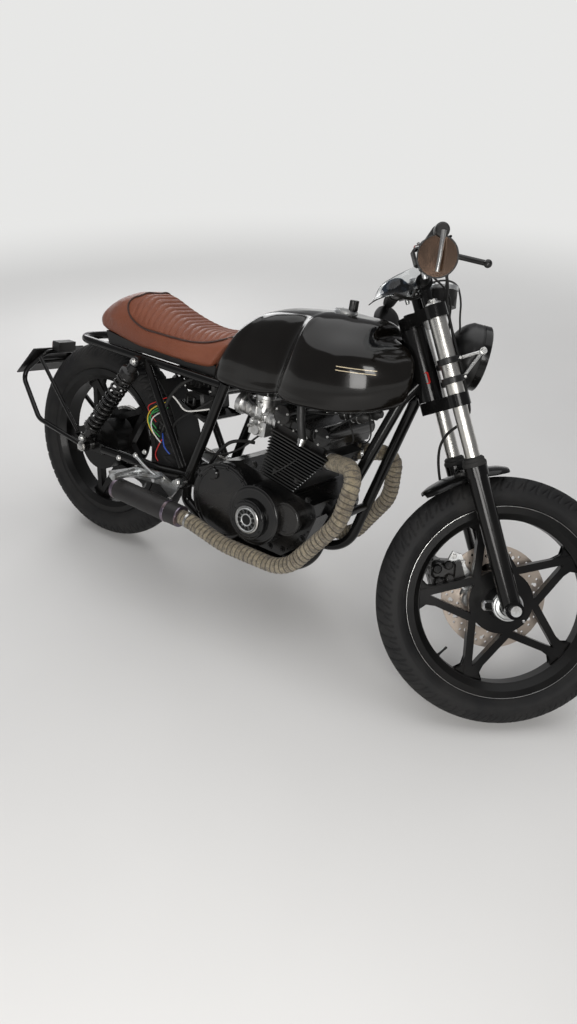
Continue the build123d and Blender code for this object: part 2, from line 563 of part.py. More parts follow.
core = [(FIN_REAR + 18, 0), (FIN_FRONT - 4, 0), (FIN_FRONT + 26, BARREL_HEIGHT), (FIN_REAR + 18, BARREL_HEIGHT)]
barrel = plate(core, -CORE_HALF, CORE_HALF)
for k in range(10):
    barrel += fin(8 + k * FIN_PITCH, CYLINDER_HALF - 6)
node("cylinder_block", BIKE * BARREL, clear_ports(barrel))
deck = BARREL_HEIGHT + SEAT_FIT
head = plate([(FIN_REAR + 8, deck), (-FIN_REAR, deck), (-FIN_REAR, deck + HEAD_HEIGHT),
              (FIN_REAR + 8, deck + HEAD_HEIGHT)], -CORE_HALF, CORE_HALF)
for k in range(5):
    head += fin(deck + 6 + k * FIN_PITCH, CYLINDER_HALF)
node("cylinder_head", BIKE * BARREL, clear_ports(head))
deck += HEAD_HEIGHT + SEAT_FIT
cam = Pos(0, 0, deck + 11) * Box(2 * CAM_REACH, 2 * CORE_HALF - 12, 22)
for x in (-CAM_REACH, CAM_REACH):
    cam += rod((x, -CYLINDER_HALF + 6, deck + 29), (x, CYLINDER_HALF - 6, deck + 29), 25)
    cam += Pos(x, 0, deck + 12) * Box(50, 2 * CORE_HALF - 4, 24)
node("cam_cover", BIKE * BARREL, clear_ports(cam))

carb = None
for side in (-1, 1):
    y = side * 62.0
    across = Vector(0, y, 0)
    body = rod(CARB_AXIS[0] + across, CARB_AXIS[1] + across, 24)
    body += Pos(0, y, 22) * Cylinder(26, 52)
    body += Pos(0, y, -42) * Box(56, 46, 40)
    body += rod(CARB_AXIS[0] + across, CARB_AXIS[0] + across - intake_way * 16, 31)
    carb = body if carb is None else carb + body
carb += Pos(8, 0, 24) * Box(14, 110, 20)
node("carburettors", BIKE * CARB, carb)
for name, side in (("intake_right", -1), ("intake_left", 1)):
    node(name, BIKE, rod(stubs[side], stubs[side] + intake_way * STUB_LENGTH, STUB_RADIUS))

# Exhaust: a wrapped header and a short silencer each side
for name, side in (("header_right", -1), ("header_left", 1)):
    route = [ports[side] + outward[side] * SEAT_FIT]
    route += [(x, side * y, z) for x, y, z, bend in HEADER_BENDS[side]]
    route.append((MUFFLER_FRONT[0], side * MUFFLER_FRONT[1], MUFFLER_FRONT[2]))
    node(name, BIKE, tube(route, WRAP_RADIUS, [row[3] for row in HEADER_BENDS[side]]))
outlets = {}
for name, side in (("muffler_right", -1), ("muffler_left", 1)):
    start = Vector(MUFFLER_FRONT[0], side * MUFFLER_FRONT[1], MUFFLER_FRONT[2])
    stop = Vector(MUFFLER_END[0], side * MUFFLER_END[1], MUFFLER_END[2])
    along = (stop - start).normalized()
    outlets[name] = Plane(BIKE * Plane(origin=stop, z_dir=along).location)
    can = rod(start + along * SEAT_FIT, stop, MUFFLER_RADIUS)
    can -= rod(stop - along * 70, stop + along * 10, MUFFLER_RADIUS - 7)
    node(name, BIKE, can)

# Fuel tank: sections across the machine, from the rear forward. Columns: x, then half width
# and height of the bottom edge, the widest line, the shoulder and the top edge
TANK_TABLE = (
    (488, 98, 684, 106, 690, 100, 696, 88, 702),
    (514, 108, 676, 120, 708, 110, 730, 92, 747),
    (548, 120, 671, 130, 742, 110, 796, 74, 824),
    (600, 126, 671, 133, 760, 122, 826, 62, 874),
    (690, 134, 681, 139, 768, 130, 836, 72, 898),
    (744, 140, 688, 148, 774, 138, 840, 78, 905),
    (776, 156, 688, 170, 778, 154, 844, 82, 907),
    (850, 160, 687, 174, 782, 158, 842, 82, 905),
    (930, 144, 697, 160, 784, 146, 838, 72, 898),
    (944, 136, 700, 152, 784, 132, 838, 68, 888),
    (962, 126, 703, 142, 775, 100, 832, 60, 872),
    (988, 106, 710, 124, 758, 68, 830, 56, 870),
    (1012, 78, 722, 84, 750, 64, 830, 50, 868),
    (1036, 56, 744, 62, 786, 58, 830, 48, 862),
)
NECK_HALF = 44.0        # half the notch that the head tube stands in
sections = []
for x, *pairs in TANK_TABLE:
    flank = list(zip(pairs[::2], pairs[1::2]))
    ring = [(x, -half, z) for half, z in flank[::-1]] + [(x, half, z) for half, z in flank]
    sections.append(make_face(Polyline(*ring, close=True)))
tank = loft(sections, ruled=True)
tank -= Pos(760, 0, 700) * Box(620, 2 * TUNNEL_HALF, 2 * TUNNEL_TOP - 1400)
tank -= rod(head_mid + Vector(-10, 0, 20), (516, 0, 634), TUNNEL_HALF)
tank -= Pos(1032, 0, 800) * Box(140, 2 * NECK_HALF, 400)
for side in (-1, 1):
    knee = Vector(1030, side * 46, 740)
    tank -= rod(head_boss + Vector(0, side * 20, 0), knee, DOWNTUBE_RADIUS + 5)
    tank -= rod(knee + Vector(0, 0, 30), (922, side * 95, 370), DOWNTUBE_RADIUS + 6)
CAP_X = 805.0
CAP_RADIUS = 32.0
tank -= rod((CAP_X, 0, 905), (CAP_X, 0, 960), CAP_RADIUS + 2)
node("fuel_tank", BIKE, tank)
cap = rod((CAP_X, 0, 905.3), (CAP_X, 0, 922), CAP_RADIUS) + rod((CAP_X + 20, 0, 920), (CAP_X + 20, 0, 946), 11)
node("filler_cap", BIKE, cap)

# Seat: sections across, from the tail forward. Columns: x, then half width and height
# of the bottom edge, the side, the piping and the crown
SEAT_TABLE = (
    (-50, 34, 721, 42, 728, 36, 735, 16, 738),
    (-24, 66, 712, 72, 732, 60, 754, 30, 767),
    (26, 90, 702, 95, 735, 80, 772, 44, 797),
    (70, 100, 697, 106, 738, 86, 795, 46, 815),
    (134, 108, 690, 114, 735, 88, 805, 48, 831),
    (171, 110, 686, 117, 732, 92, 795, 50, 828),
    (240, 112, 686, 118, 726, 96, 772, 52, 806),
    (320, 112, 685, 118, 722, 98, 757, 54, 785),
    (400, 110, 690, 116, 724, 98, 755, 54, 777),
    (450, 106, 694, 112, 730, 96, 765, 52, 783),
    (530, 104, 706, 106, 742, 90, 784, 48, 794),
)
SEAT_NOSE = [(476, 640), (476, 690), (480, 715), (490, 742), (503, 762), (524, 788), (536, 830), (640, 830), (640, 640)]
sections = []
for x, *pairs in SEAT_TABLE:
    flank = list(zip(pairs[::2], pairs[1::2]))
    ring = [(x, -half, z) for half, z in flank[::-1]] + [(x, half, z) for half, z in flank]
    sections.append(make_face(Polyline(*ring, close=True)))
seat = loft(sections, ruled=True) - plate(SEAT_NOSE, -200, 200)
node("seat", BIKE, seat)
base_top = [(row[0], row[2] - SEAT_FIT) for row in SEAT_TABLE[2:-1]]
rail_top = RAIL_Z + RAIL_RADIUS + SEAT_FIT
base = plate(base_top + [(470, 696), (470, rail_top), (40, rail_top)], -86, 86)
node("seat_base", BIKE, base)

# Under the seat
node("electrics_tray", BIKE, Pos(404, 0, 568.25) * Box(116, 150, 196.5))
guard = turned([(REAR_RADIUS + 26, -50), (REAR_RADIUS + 26, 50), (REAR_RADIUS + 23, 50),
                (REAR_RADIUS + 23, -50)])
sector = Polyline((0, 0, 0), (900 * cos(radians(50)), 0, 900 * sin(radians(50))),
                  (900 * cos(radians(1)), 0, 900 * sin(radians(1))), close=True)
guard &= extrude(make_face(sector), 90, both=True, dir=(0, 1, 0))
node("rear_mudguard", BIKE * Pos(0, 0, REAR_RADIUS), guard)

# Plate carrier, from the axle ends round the back of the tyre
ring_half = SWING_HALF + 20.3
half_path = [(-14, ring_half + 9, REAR_RADIUS), (-230, ring_half + 9, 352), (-368, 92, 470), (-290, 60, 560)]
path = [(x, -y, z) for x, y, z in half_path] + half_path[::-1]
carrier = tube(path, 8, [60, 40, 24, 24, 40, 60])
for side in (-1, 1):
    carrier += rod((0, side * ring_half, REAR_RADIUS), (0, side * (ring_half + 18), REAR_RADIUS), 18)
carrier -= rod((0, -140, REAR_RADIUS), (0, 140, REAR_RADIUS), REAR_AXLE_RADIUS + RUNNING_FIT)
carrier += rod((-329, -76, 515), (-329, 76, 515), 6)
node("plate_carrier", BIKE, carrier)
board = Pos(-329, 0, 515) * Rot(Y=40.9) * Pos(-10.4, 0, 0) * Box(4, 210, 130)
node("number_plate", BIKE, board)
node("tail_lamp", BIKE, Pos(-269, 0, 583) * Box(34, 70, 30))

# Footrests
for name, side in (("footrest_right", -1), ("footrest_left", 1)):
    y = side * 152.0
    hanger = plate([(415, 292), (440, 330), (360, 356), (262, 340), (150, 292), (156, 272), (270, 308),
                    (370, 320)], y - 4, y + 4)
    hanger += rod((424, side * 133.3, 338), (424, y, 338), 13)
    hanger += rod((262, y, 326), (262, y + side * 92, 326), 11)
    hanger += tube([(300, y + side * 18, 330), (392, y + side * 20, 352), (392, y + side * 60, 352)], 6, 10)
    hanger += rod((300, y, 330), (300, y + side * 22, 330), 9)
    node(name, BIKE, hanger)

# Final drive on the left
outer = make_hull((Pos(0, REAR_RADIUS) * Circle(107)).edges() + (Pos(500, 322) * Circle(46)).edges())
inner = make_hull((Pos(0, REAR_RADIUS) * Circle(100.3)).edges() + (Pos(500, 322) * Circle(39)).edges())
chain = Pos(0, 61.5, 0) * extrude(Plane.XZ * (outer - inner), 14, dir=(0, 1, 0))
node("drive_chain", BIKE, chain)

# Hose and cables, drawn along the fork: height first falls, then they hang behind the legs
hose = tube([(22, -188, BAR_END_U - 25.4), (22, -188, 786), (34, -130, 764), (33, -72, 734), (33, -70, 500), (24, -56, 462),
             (-40, 0, 436), (-56, 62, 360), (-60, 66, 240), (-128, DISC_OFFSET, 200), (-128, DISC_OFFSET, 138.4)],
            HOSE_RADIUS, [18, 30, 30, 24, 30, 40, 60, 60, 30])
node("brake_hose", STEERING, hose)

# Side stand, drawn where it stands
stand = rod(stand_top, foot + Vector(0, 0, FOOT_THICK), STAND_RADIUS)
stand += Solid.make_cylinder(FOOT_RADIUS, FOOT_THICK, Plane(origin=foot))
stand += rod(stand_top - hinge_axis * 12, stand_top + hinge_axis * 12, 15)
stand -= rod(stand_top - hinge_axis * 30, stand_top + hinge_axis * 30, STAND_PIN + RUNNING_FIT)
node("side_stand", Location(), stand)

# The finished machine stands with the middle of its outline over the origin
whole = Compound(children=[Compound(children=list(shape.solids())) for shape in pieces.values()])
limits = whole.bounding_box()
CENTRE = Pos(-(limits.min.X + limits.max.X) / 2, -(limits.min.Y + limits.max.Y) / 2, 0)
for name, shape in pieces.items():
    export_step(CENTRE * shape, f"parts/{name}.step")


def report(name, place, axis="Z"):
    """Print a joint's or mount's place in metres and its direction."""
    plane = Plane(CENTRE * place)
    way = {"X": plane.x_dir, "Y": plane.y_dir, "Z": plane.z_dir}[axis]
    spot = plane.origin * 0.001
    print(name, [round(v, 5) for v in spot], [round(v, 6) for v in way])


print("pitch", round(pitch, 3), "box", limits)
report("steering", STEERING * Pos(-AXLE_LEAD, 0, UPPER_YOKE_U))
report("front_wheel", STEERING, "Y")
report("rear_wheel", REAR_WHEEL, "Y")
print("side_stand", [round(v * 0.001, 5) for v in (CENTRE * Pos(*stand_top)).position],
      [round(v, 6) for v in hinge_axis])
report("camera frame", Location())
for name, outlet in outlets.items():
    report(name, outlet.location)
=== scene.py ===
import json
import math

import bmesh
import bpy
import numpy as np
from mathutils import Matrix
from mathutils.bvhtree import BVHTree


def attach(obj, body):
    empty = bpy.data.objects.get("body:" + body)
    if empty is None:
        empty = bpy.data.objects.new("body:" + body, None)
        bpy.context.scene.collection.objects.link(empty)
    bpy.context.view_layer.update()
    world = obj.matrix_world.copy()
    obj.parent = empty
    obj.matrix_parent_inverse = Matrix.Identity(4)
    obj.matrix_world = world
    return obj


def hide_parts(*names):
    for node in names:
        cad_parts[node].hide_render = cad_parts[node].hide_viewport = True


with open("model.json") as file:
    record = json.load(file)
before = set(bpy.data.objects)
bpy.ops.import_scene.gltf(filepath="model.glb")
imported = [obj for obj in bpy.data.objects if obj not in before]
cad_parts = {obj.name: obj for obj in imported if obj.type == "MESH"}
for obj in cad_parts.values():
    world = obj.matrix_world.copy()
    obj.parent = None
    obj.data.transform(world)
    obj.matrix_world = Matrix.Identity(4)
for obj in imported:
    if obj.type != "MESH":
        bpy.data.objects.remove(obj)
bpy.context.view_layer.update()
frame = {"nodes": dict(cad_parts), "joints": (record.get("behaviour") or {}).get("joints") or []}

bl_info = {
    "name": "Cafe racer dressing",
    "version": (1, 0, 0),
    "blender": (4, 5, 0),
    "location": "View3D > Sidebar > Cafe racer",
    "description": "Dresses the packed solids of a cafe racer with surfaces, finishes, lamps and a camera",
    "category": "Object",
}

JOINTS = {joint["name"]: joint for joint in frame["joints"]}
LEAN, PITCH, RAKE, LOCK, STAR_TURN = -14.2, 0.639, -29.7, 37.3, -171.0
REAR_RADIUS, REAR_WIDTH, REAR_RIM_HALF = 324.5, 116.0, 43.0
FRONT_RADIUS, FRONT_WIDTH, FRONT_RIM_HALF = 312.3, 96.0, 33.0
BEAD_RADIUS = 229.0


# Places

def turn(axis, angle):
    """Turn about one axis by an angle in degrees."""
    return np.array(Matrix.Rotation(math.radians(angle), 3, axis))


def unit(vectors):
    """Vectors divided by their own length."""
    vectors = np.asarray(vectors, float)
    return vectors / np.linalg.norm(vectors, axis=-1, keepdims=True)


class Place:
    """Millimetres in a drawing frame, turned and moved to metres in the row frame."""

    def __init__(self, turning, origin):
        self.turning = turning
        self.origin = np.asarray(origin, float)

    def __call__(self, points):
        return np.asarray(points, float) / 1000 @ self.turning.T + self.origin

    def mapping(self):
        """Settings of a Mapping node that brings row coordinates back to this frame."""
        rotation = Matrix(self.turning).to_euler()
        return {"vector_type": "TEXTURE"}, {"Location": self.origin, "Rotation": rotation}


LEANED = turn("X", LEAN) @ turn("Y", PITCH)
REAR_AXLE = np.array(JOINTS["rear_wheel"]["pos_m"])
FRONT_AXLE = np.array(JOINTS["front_wheel"]["pos_m"])
BIKE = Place(LEANED, REAR_AXLE - LEANED @ (0, 0, REAR_RADIUS / 1000))
REAR = Place(LEANED, REAR_AXLE)
FORK = Place(LEANED @ turn("Y", RAKE) @ turn("Z", LOCK), FRONT_AXLE)
FRONT = FORK


# Surfaces

def finely(knots, steps):
    """Each span between knots cut into the same number of steps."""
    knots = np.asarray(knots, float)
    part = np.arange(steps) / steps
    inner = knots[:-1, None] + np.diff(knots)[:, None] * part
    return np.append(inner.ravel(), knots[-1])


def weave(knots, samples):
    """Weights that carry values at knots to samples along a smooth line through them: on each span
    the cubic with the values at its ends and, at each knot, the slope of the parabola through the
    knot and its neighbours."""
    knots = np.asarray(knots, float)
    span, row = np.diff(knots), np.arange(len(knots) - 1)
    secant = np.zeros((len(row), len(knots)))
    secant[row, row], secant[row, row + 1] = -1 / span, 1 / span
    slope = np.vstack([secant[:1], np.zeros((len(row) - 1, len(knots))), secant[-1:]])
    share = (span[1:] / (span[1:] + span[:-1]))[:, None]
    slope[1:-1] = secant[:-1] * share + secant[1:] * (1 - share)
    k = np.clip(np.searchsorted(knots, samples, side="right") - 1, 0, len(row) - 1)
    t, own, width = ((samples - knots[k]) / span[k])[:, None], np.eye(len(knots)), span[k][:, None]
    return ((2 * t ** 3 - 3 * t ** 2 + 1) * own[k] + (3 * t ** 2 - 2 * t ** 3) * own[k + 1]
            + (t ** 3 - 2 * t ** 2 + t) * width * slope[k] + (t ** 3 - t ** 2) * width * slope[k + 1])


def spaced(points):
    """Distance run along a row of points, from its first."""
    return np.append(0, np.cumsum(np.linalg.norm(np.diff(points, axis=0), axis=-1)))


def through(points, steps=8):
    """Smooth line through points."""
    points = np.asarray(points, float)
    run = spaced(points)
    return weave(run, finely(run, steps)) @ points


def woven(net, row_steps, column_steps):
    """Smooth surface through a net of points: the net's rows are woven first, then its columns."""
    rows = spaced(net.mean(1))
    columns = spaced(net.transpose(1, 0, 2).reshape(net.shape[1], -1)) / math.sqrt(len(net))
    return np.einsum("ri,cj,ijk->rck", weave(rows, finely(rows, row_steps)),
                     weave(columns, finely(columns, column_steps)), net)


def pipe_bends(corners, bends, step):
    """Middle line of a rigid pipe of straight runs and arcs: an arc of the bend's radius leaves and
    joins the runs at its radius times the tangent of half the turn from the corner."""
    corners = [np.asarray(corner, float) for corner in corners]
    pieces = [corners[0][None]]
    for before, corner, after, bend in zip(corners, corners[1:], corners[2:], bends):
        into, out = unit(corner - before), unit(after - corner)
        angle = math.acos(np.clip(into @ out, -1, 1))
        start = corner - into * bend * math.tan(angle / 2)
        inward = unit(out - into * (into @ out))
        t = np.linspace(0, angle, max(4, int(bend * angle / step)))[:, None]
        pieces.append(start + bend * (np.sin(t) * into + (1 - np.cos(t)) * inward))
    pieces.append(corners[-1][None])
    line = np.vstack(pieces)
    run = spaced(line)
    keep = np.append(True, np.diff(run) > 1e-6)
    line, run = line[keep], run[keep]
    even = np.linspace(0, run[-1], max(2, int(run[-1] / step)))
    return np.stack([np.interp(even, run, line[:, k]) for k in range(3)], 1)


def around(count, step, start, radius):
    """Places at even steps round a circle, from an angle in degrees."""
    for k in range(count):
        a = math.radians(step * k + start)
        yield radius * math.cos(a), radius * math.sin(a)


def square_to(along, aside):
    """Two directions square to each direction of a line and to each other."""
    first = unit(np.cross(along, aside))
    return first, np.cross(along, first)


def tube(line, radius, sides=16, aside=(0, 1, 0)):
    """Skin of a round bar: station + radius * (cos a * first + sin a * second), where first and
    second are square to the line. The radius may change with the station and the angle."""
    line = np.asarray(line, float)
    first, second = square_to(unit(np.gradient(line, axis=0)), aside)
    a = np.arange(sides) * 2 * math.pi / sides
    spread = np.cos(a)[None, :, None] * first[:, None] + np.sin(a)[None, :, None] * second[:, None]
    radius = np.asarray(radius, float)
    radius = radius[:, None] if radius.ndim == 1 else radius
    return line[:, None] + np.broadcast_to(radius, spread.shape[:2])[..., None] * spread


def lathe(profile, centre=(0, 0, 0), axis=(0, 0, 1), sides=48, turned=0.0):
    """Surface of revolution from (radius, height) pairs: centre + axis * height + radius *
    (cos a * first + sin a * second)."""
    axis = unit(axis)
    aside = (1, 0, 0) if abs(axis[0]) < 0.9 else (0, 1, 0)
    first, second = square_to(axis, aside)
    radius, height = np.asarray(profile, float).T[:, :, None, None]
    a = np.arange(sides)[None, :, None] * 2 * math.pi / sides + turned
    return np.asarray(centre, float) + axis * height + radius * (np.cos(a) * first + np.sin(a) * second)


def prism(outline, low, high, bevel=1.5):
    """Bevelled slab from a flat outline in X and Z, thick along Y: four rings, the outer two drawn in
    towards the middle by the bevel."""
    outline = np.asarray(outline, float)
    middle = outline.mean(0)
    reach = np.linalg.norm(outline - middle, axis=1, keepdims=True)
    inner = middle + (outline - middle) * (1 - bevel / reach)
    rings = ((inner, low), (outline, low + bevel), (outline, high - bevel), (inner, high))
    return np.stack([np.column_stack([ring[:, 0], np.full(len(ring), y), ring[:, 1]]) for ring, y in rings])


def box(centre, size, turning=None, bevel=1.5):
    """Bevelled block about a centre, turned about it."""
    x, y, z = np.asarray(size, float) / 2
    corner = min(bevel, x * 0.6, z * 0.6)
    outline = [(-x, corner - z), (corner - x, -z), (x - corner, -z), (x, corner - z),
               (x, z - corner), (x - corner, z), (corner - x, z), (-x, z - corner)]
    points = prism(outline, -y, y, min(bevel, y * 0.6))
    return (points if turning is None else points @ turning.T) + np.asarray(centre, float)


class Shape:
    """Grids of points gathered into one mesh, each with its own finish."""

    def __init__(self, place):
        self.place = place
        self.points, self.faces, self.coordinates, self.marks = [], [], [], []
        self.finishes = []
        self.count = 0

    def mark(self, finish):
        """The place of a finish among the mesh's slots."""
        if finish not in self.finishes:
            self.finishes.append(finish)
        return self.finishes.index(finish)

    def grid(self, points, finish, around=True, closed=False, caps=False, span=1.0):
        """Quads between neighbours: round the columns, and round the rows where the line is closed.
        The map coordinates are the row, as a share of the span, and the column, as a share of 1.
        Caps are fans to each end's middle."""
        points = np.asarray(points, float)
        rows, columns = points.shape[:2]
        i, j = np.meshgrid(np.arange(rows - (not closed)), np.arange(columns - (not around)), indexing="ij")
        i, j = i.ravel(), j.ravel()
        corners = ((i, j), (i + 1, j), (i + 1, j + 1), (i, j + 1))
        quads = np.stack([self.count + (a % rows) * columns + b % columns for a, b in corners], 1)
        shares = np.stack([np.stack([a / max(1, rows - (not closed)), b / max(1, columns - (not around))], 1)
                           for a, b in corners], 1)
        self.add(points.reshape(-1, 3), quads, shares * (span, 1), finish)
        if caps:
            for ring, base in ((points[0], 0), (points[-1], (rows - 1) * columns)):
                start = self.count - rows * columns - (base > 0)
                j = np.arange(columns)
                fan = np.stack([start + base + j, start + base + (j + 1) % columns,
                                np.full(columns, self.count)], 1)
                flat = np.zeros((columns, 3, 2)) + (0.0 if base == 0 else 1.0)
                self.add(ring.mean(0, keepdims=True), fan, flat, finish)
        return self

    def revolve(self, finish, profile, *place, **more):
        """Add a surface of revolution."""
        self.grid(lathe(profile, *place, **more), finish)

    def bar(self, finish, line, *size):
        """Add a round bar with closed ends."""
        self.grid(tube(line, *size), finish, caps=True)

    def slab(self, finish, outline, *size):
        """Add a bevelled slab."""
        self.grid(prism(outline, *size), finish, caps=True)

    def block(self, finish, centre, *size, **more):
        """Add a bevelled block."""
        self.grid(box(centre, *size, **more), finish)

    def add(self, points, faces, shares, finish):
        """Keep points and faces with their map coordinates."""
        self.points.append(points)
        self.faces.append(faces)
        self.coordinates.append(shares.reshape(-1, 2))
        self.marks.append(np.full(len(faces), self.mark(finish)))
        self.count += len(points)

    def build(self, name, body, slot=None, stands_for=(), crease=35.0):
        """The gathered mesh as a piece on a body: doubles merged, faces outwards, edges sharper than
        the crease angle left sharp."""
        mesh = bpy.data.meshes.new(name)
        faces = [row for block in self.faces for row in block.tolist()]
        mesh.from_pydata(self.place(np.vstack(self.points)).tolist(), [], faces)
        mesh.polygons.foreach_set("material_index", np.concatenate(self.marks).astype(np.int32))
        layer = mesh.uv_layers.new(name="Skin")
        layer.uv.foreach_set("vector", np.vstack(self.coordinates).astype(np.float32).ravel())
        work = bmesh.new()
        work.from_mesh(mesh)
        bmesh.ops.remove_doubles(work, verts=work.verts, dist=1e-5)
        bmesh.ops.dissolve_degenerate(work, edges=work.edges, dist=1e-6)
        bmesh.ops.recalc_face_normals(work, faces=work.faces)
        work.to_mesh(mesh)
        work.free()
        for finish in self.finishes:
            mesh.materials.append(finish_named(finish))
        mesh.polygons.foreach_set("use_smooth", np.ones(len(mesh.polygons), bool))
        mesh.set_sharp_from_angle(angle=math.radians(crease))
        return settle(bpy.data.objects.new(name, mesh), body, stands_for)


def settle(piece, body, stands_for=()):
    """Put a finished piece in the scene and on its body."""
    if not piece.users_collection:
        bpy.context.scene.collection.objects.link(piece)
    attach(piece, body)
    if stands_for:
        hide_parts(*stands_for)
    return piece


# Finishes

class Value:
    """A shader socket that takes part in sums."""

    def __init__(self, finish, socket):
        self.finish, self.socket = finish, socket

    def __add__(self, other):
        return self.finish.math("ADD", self, other)

    def __sub__(self, other):
        return self.finish.math("SUBTRACT", self, other)

    def __rsub__(self, other):
        return self.finish.math("SUBTRACT", other, self)

    def __mul__(self, other):
        return self.finish.math("MULTIPLY", self, other)

    def __truediv__(self, other):
        return self.finish.math("DIVIDE", self, other)

    def __gt__(self, other):
        return self.finish.math("GREATER_THAN", self, other)

    def __lt__(self, other):
        return self.finish.math("LESS_THAN", self, other)

    __radd__, __rmul__ = __add__, __mul__


class Finish:
    """A material being written: its Principled shader, and one method that adds any other node."""

    def __init__(self, name, **constants):
        self.material = bpy.data.materials.new(name)
        self.material.use_nodes = True
        self.tree = self.material.node_tree
        self.shader = next(n for n in self.tree.nodes if n.type == "BSDF_PRINCIPLED")
        for socket, value in constants.items():
            self.set(socket.replace("_", " ").title().replace("Ior", "IOR"), value)

    @classmethod
    def of(cls, name):
        """The finish already written under a name, to be added to."""
        f = cls.__new__(cls)
        f.material = bpy.data.materials[name]
        f.tree = f.material.node_tree
        f.shader = next(n for n in f.tree.nodes if n.type == "BSDF_PRINCIPLED")
        return f

    def node(self, kind, settings=None, sockets=None, output=0):
        """A node of a type, with its settings set first and then its sockets' values or links."""
        node = self.tree.nodes.new(kind)
        for setting, value in (settings or {}).items():
            if setting == "stops":
                stops = node.color_ramp.elements
                while len(stops) < len(value):
                    stops.new(0.5)
                for stop, (position, colour) in zip(stops, value):
                    stop.position, stop.color = position, colour
            else:
                setattr(node, setting, value)
        for socket, value in (sockets or {}).items():
            self.join(node.inputs[socket], value)
        return Value(self, node.outputs[output])

    def math(self, kind, *values):
        """A Math node of one or two values."""
        return self.node("ShaderNodeMath", {"operation": kind}, dict(enumerate(values)))

    def join(self, socket, value):
        """Link a value to a socket, or set the socket to a number or a colour."""
        if isinstance(value, Value):
            self.tree.links.new(value.socket, socket)
        elif socket.type == "RGBA" and len(value) == 3:
            socket.default_value = (*value, 1)
        else:
            socket.default_value = value

    def set(self, name, value):
        """Give one of the shader's own sockets its value."""
        self.join(self.shader.inputs[name], value)
        return self

    def place(self):
        """The surface's own coordinates in the row frame."""
        return self.node("ShaderNodeTexCoord", output="Object")

    def skin(self):
        """The surface's map coordinates."""
        return self.node("ShaderNodeTexCoord", output="UV")

    def drawn(self, place):
        """Coordinates in a drawing frame, in metres."""
        settings, sockets = place.mapping()
        return self.node("ShaderNodeMapping", settings, {"Vector": self.place(), **sockets})

    def split(self, vector):
        """The three parts of a vector."""
        node = self.node("ShaderNodeSeparateXYZ", None, {0: vector}).socket.node
        return [Value(self, node.outputs[k]) for k in range(3)]

    def noise(self, scale, detail=3.0, roughness=0.55, at=None):
        """Cloudy value between 0 and 1."""
        return self.node("ShaderNodeTexNoise", None, {"Vector": at or self.place(), "Scale": scale,
                                                      "Detail": detail, "Roughness": roughness})

    def cells(self, scale, feature="F1", at=None):
        """Distance within a pattern of cells."""
        return self.node("ShaderNodeTexVoronoi", {"feature": feature},
                         {"Vector": at or self.place(), "Scale": scale})

    def fade(self, value, low, high, start=0.0, stop=1.0):
        """The value's range from low to high carried smoothly to start and stop."""
        return self.node("ShaderNodeMapRange", {"interpolation_type": "SMOOTHSTEP"},
                         {0: value, 1: low, 2: high, 3: start, 4: stop})

    def mix(self, share, first, second):
        """A colour between two, by a share."""
        return self.node("ShaderNodeMix", {"data_type": "RGBA"}, {0: share, 6: first, 7: second}, 2)

    def bump(self, height, distance, strength=1.0):
        """A normal from a height, its distance in metres."""
        return self.node("ShaderNodeBump", None, {"Height": height, "Distance": distance, "Strength": strength})


def paint(name, colour, roughness, coat, dust=0.1):
    """Lacquer over black: an orange-peel coat, wiped streaks and a breath of dust."""
    f = Finish(name, coat_weight=coat, coat_roughness=0.05, metallic=0.0, specular_ior_level=0.2)
    cloud = f.fade(f.noise(7.0, 5.0), 0.35, 0.75)
    fine = f.noise(60.0, 4.0)
    f.set("Base Color", f.mix(cloud * dust, colour, (0.10, 0.09, 0.08)))
    f.set("Roughness", roughness + cloud * 0.10 + fine * 0.05)
    f.set("Normal", f.bump(f.noise(420.0, 2.0), 0.00004))
    return f.material


def castings(name, colour, roughness, grain=900.0, depth=0.00012):
    """Stoved black on a sand casting: fine grain, dull patches, dust lying in it."""
    f = Finish(name, metallic=0.0, specular_ior_level=0.45)
    cloud = f.fade(f.noise(11.0, 5.0), 0.4, 0.7)
    f.set("Base Color", f.mix(cloud * 0.10, colour, (0.09, 0.08, 0.07)))
    f.set("Roughness", roughness + cloud * 0.14)
    f.set("Normal", f.bump(f.noise(grain, 3.0) + f.noise(40.0, 2.0) * 0.4, depth))
    return f.material


def metal(name, colour, grime, roughness, brush=(1, 1, 1), depth=0.00003, share=0.5):
    """Bare metal: brushed along one way, with darker stains in patches."""
    f = Finish(name, metallic=1.0)
    stretched = f.node("ShaderNodeMapping", None, {"Vector": f.place(), "Scale": brush})
    hair = f.noise(600.0, 2.0, 0.6, stretched)
    stain = f.fade(f.noise(24.0, 6.0, 0.65), 0.42, 0.72)
    f.set("Base Color", f.mix(stain * share, colour, grime))
    f.set("Roughness", roughness + hair * 0.10 + stain * 0.16)
    f.set("Normal", f.bump(hair, depth))
    return f.material


def rubber(name, colour, roughness=0.62):
    """Road-worn rubber with grey dust and a fine grain."""
    f = Finish(name, metallic=0.0, specular_ior_level=0.22)
    cloud = f.fade(f.noise(9.0, 6.0, 0.62), 0.35, 0.75)
    f.set("Base Color", f.mix(cloud * 0.35, colour, (0.05, 0.048, 0.045)))
    f.set("Roughness", roughness + cloud * 0.18)
    f.set("Normal", f.bump(f.noise(1400.0, 2.0), 0.00008))
    return f.material


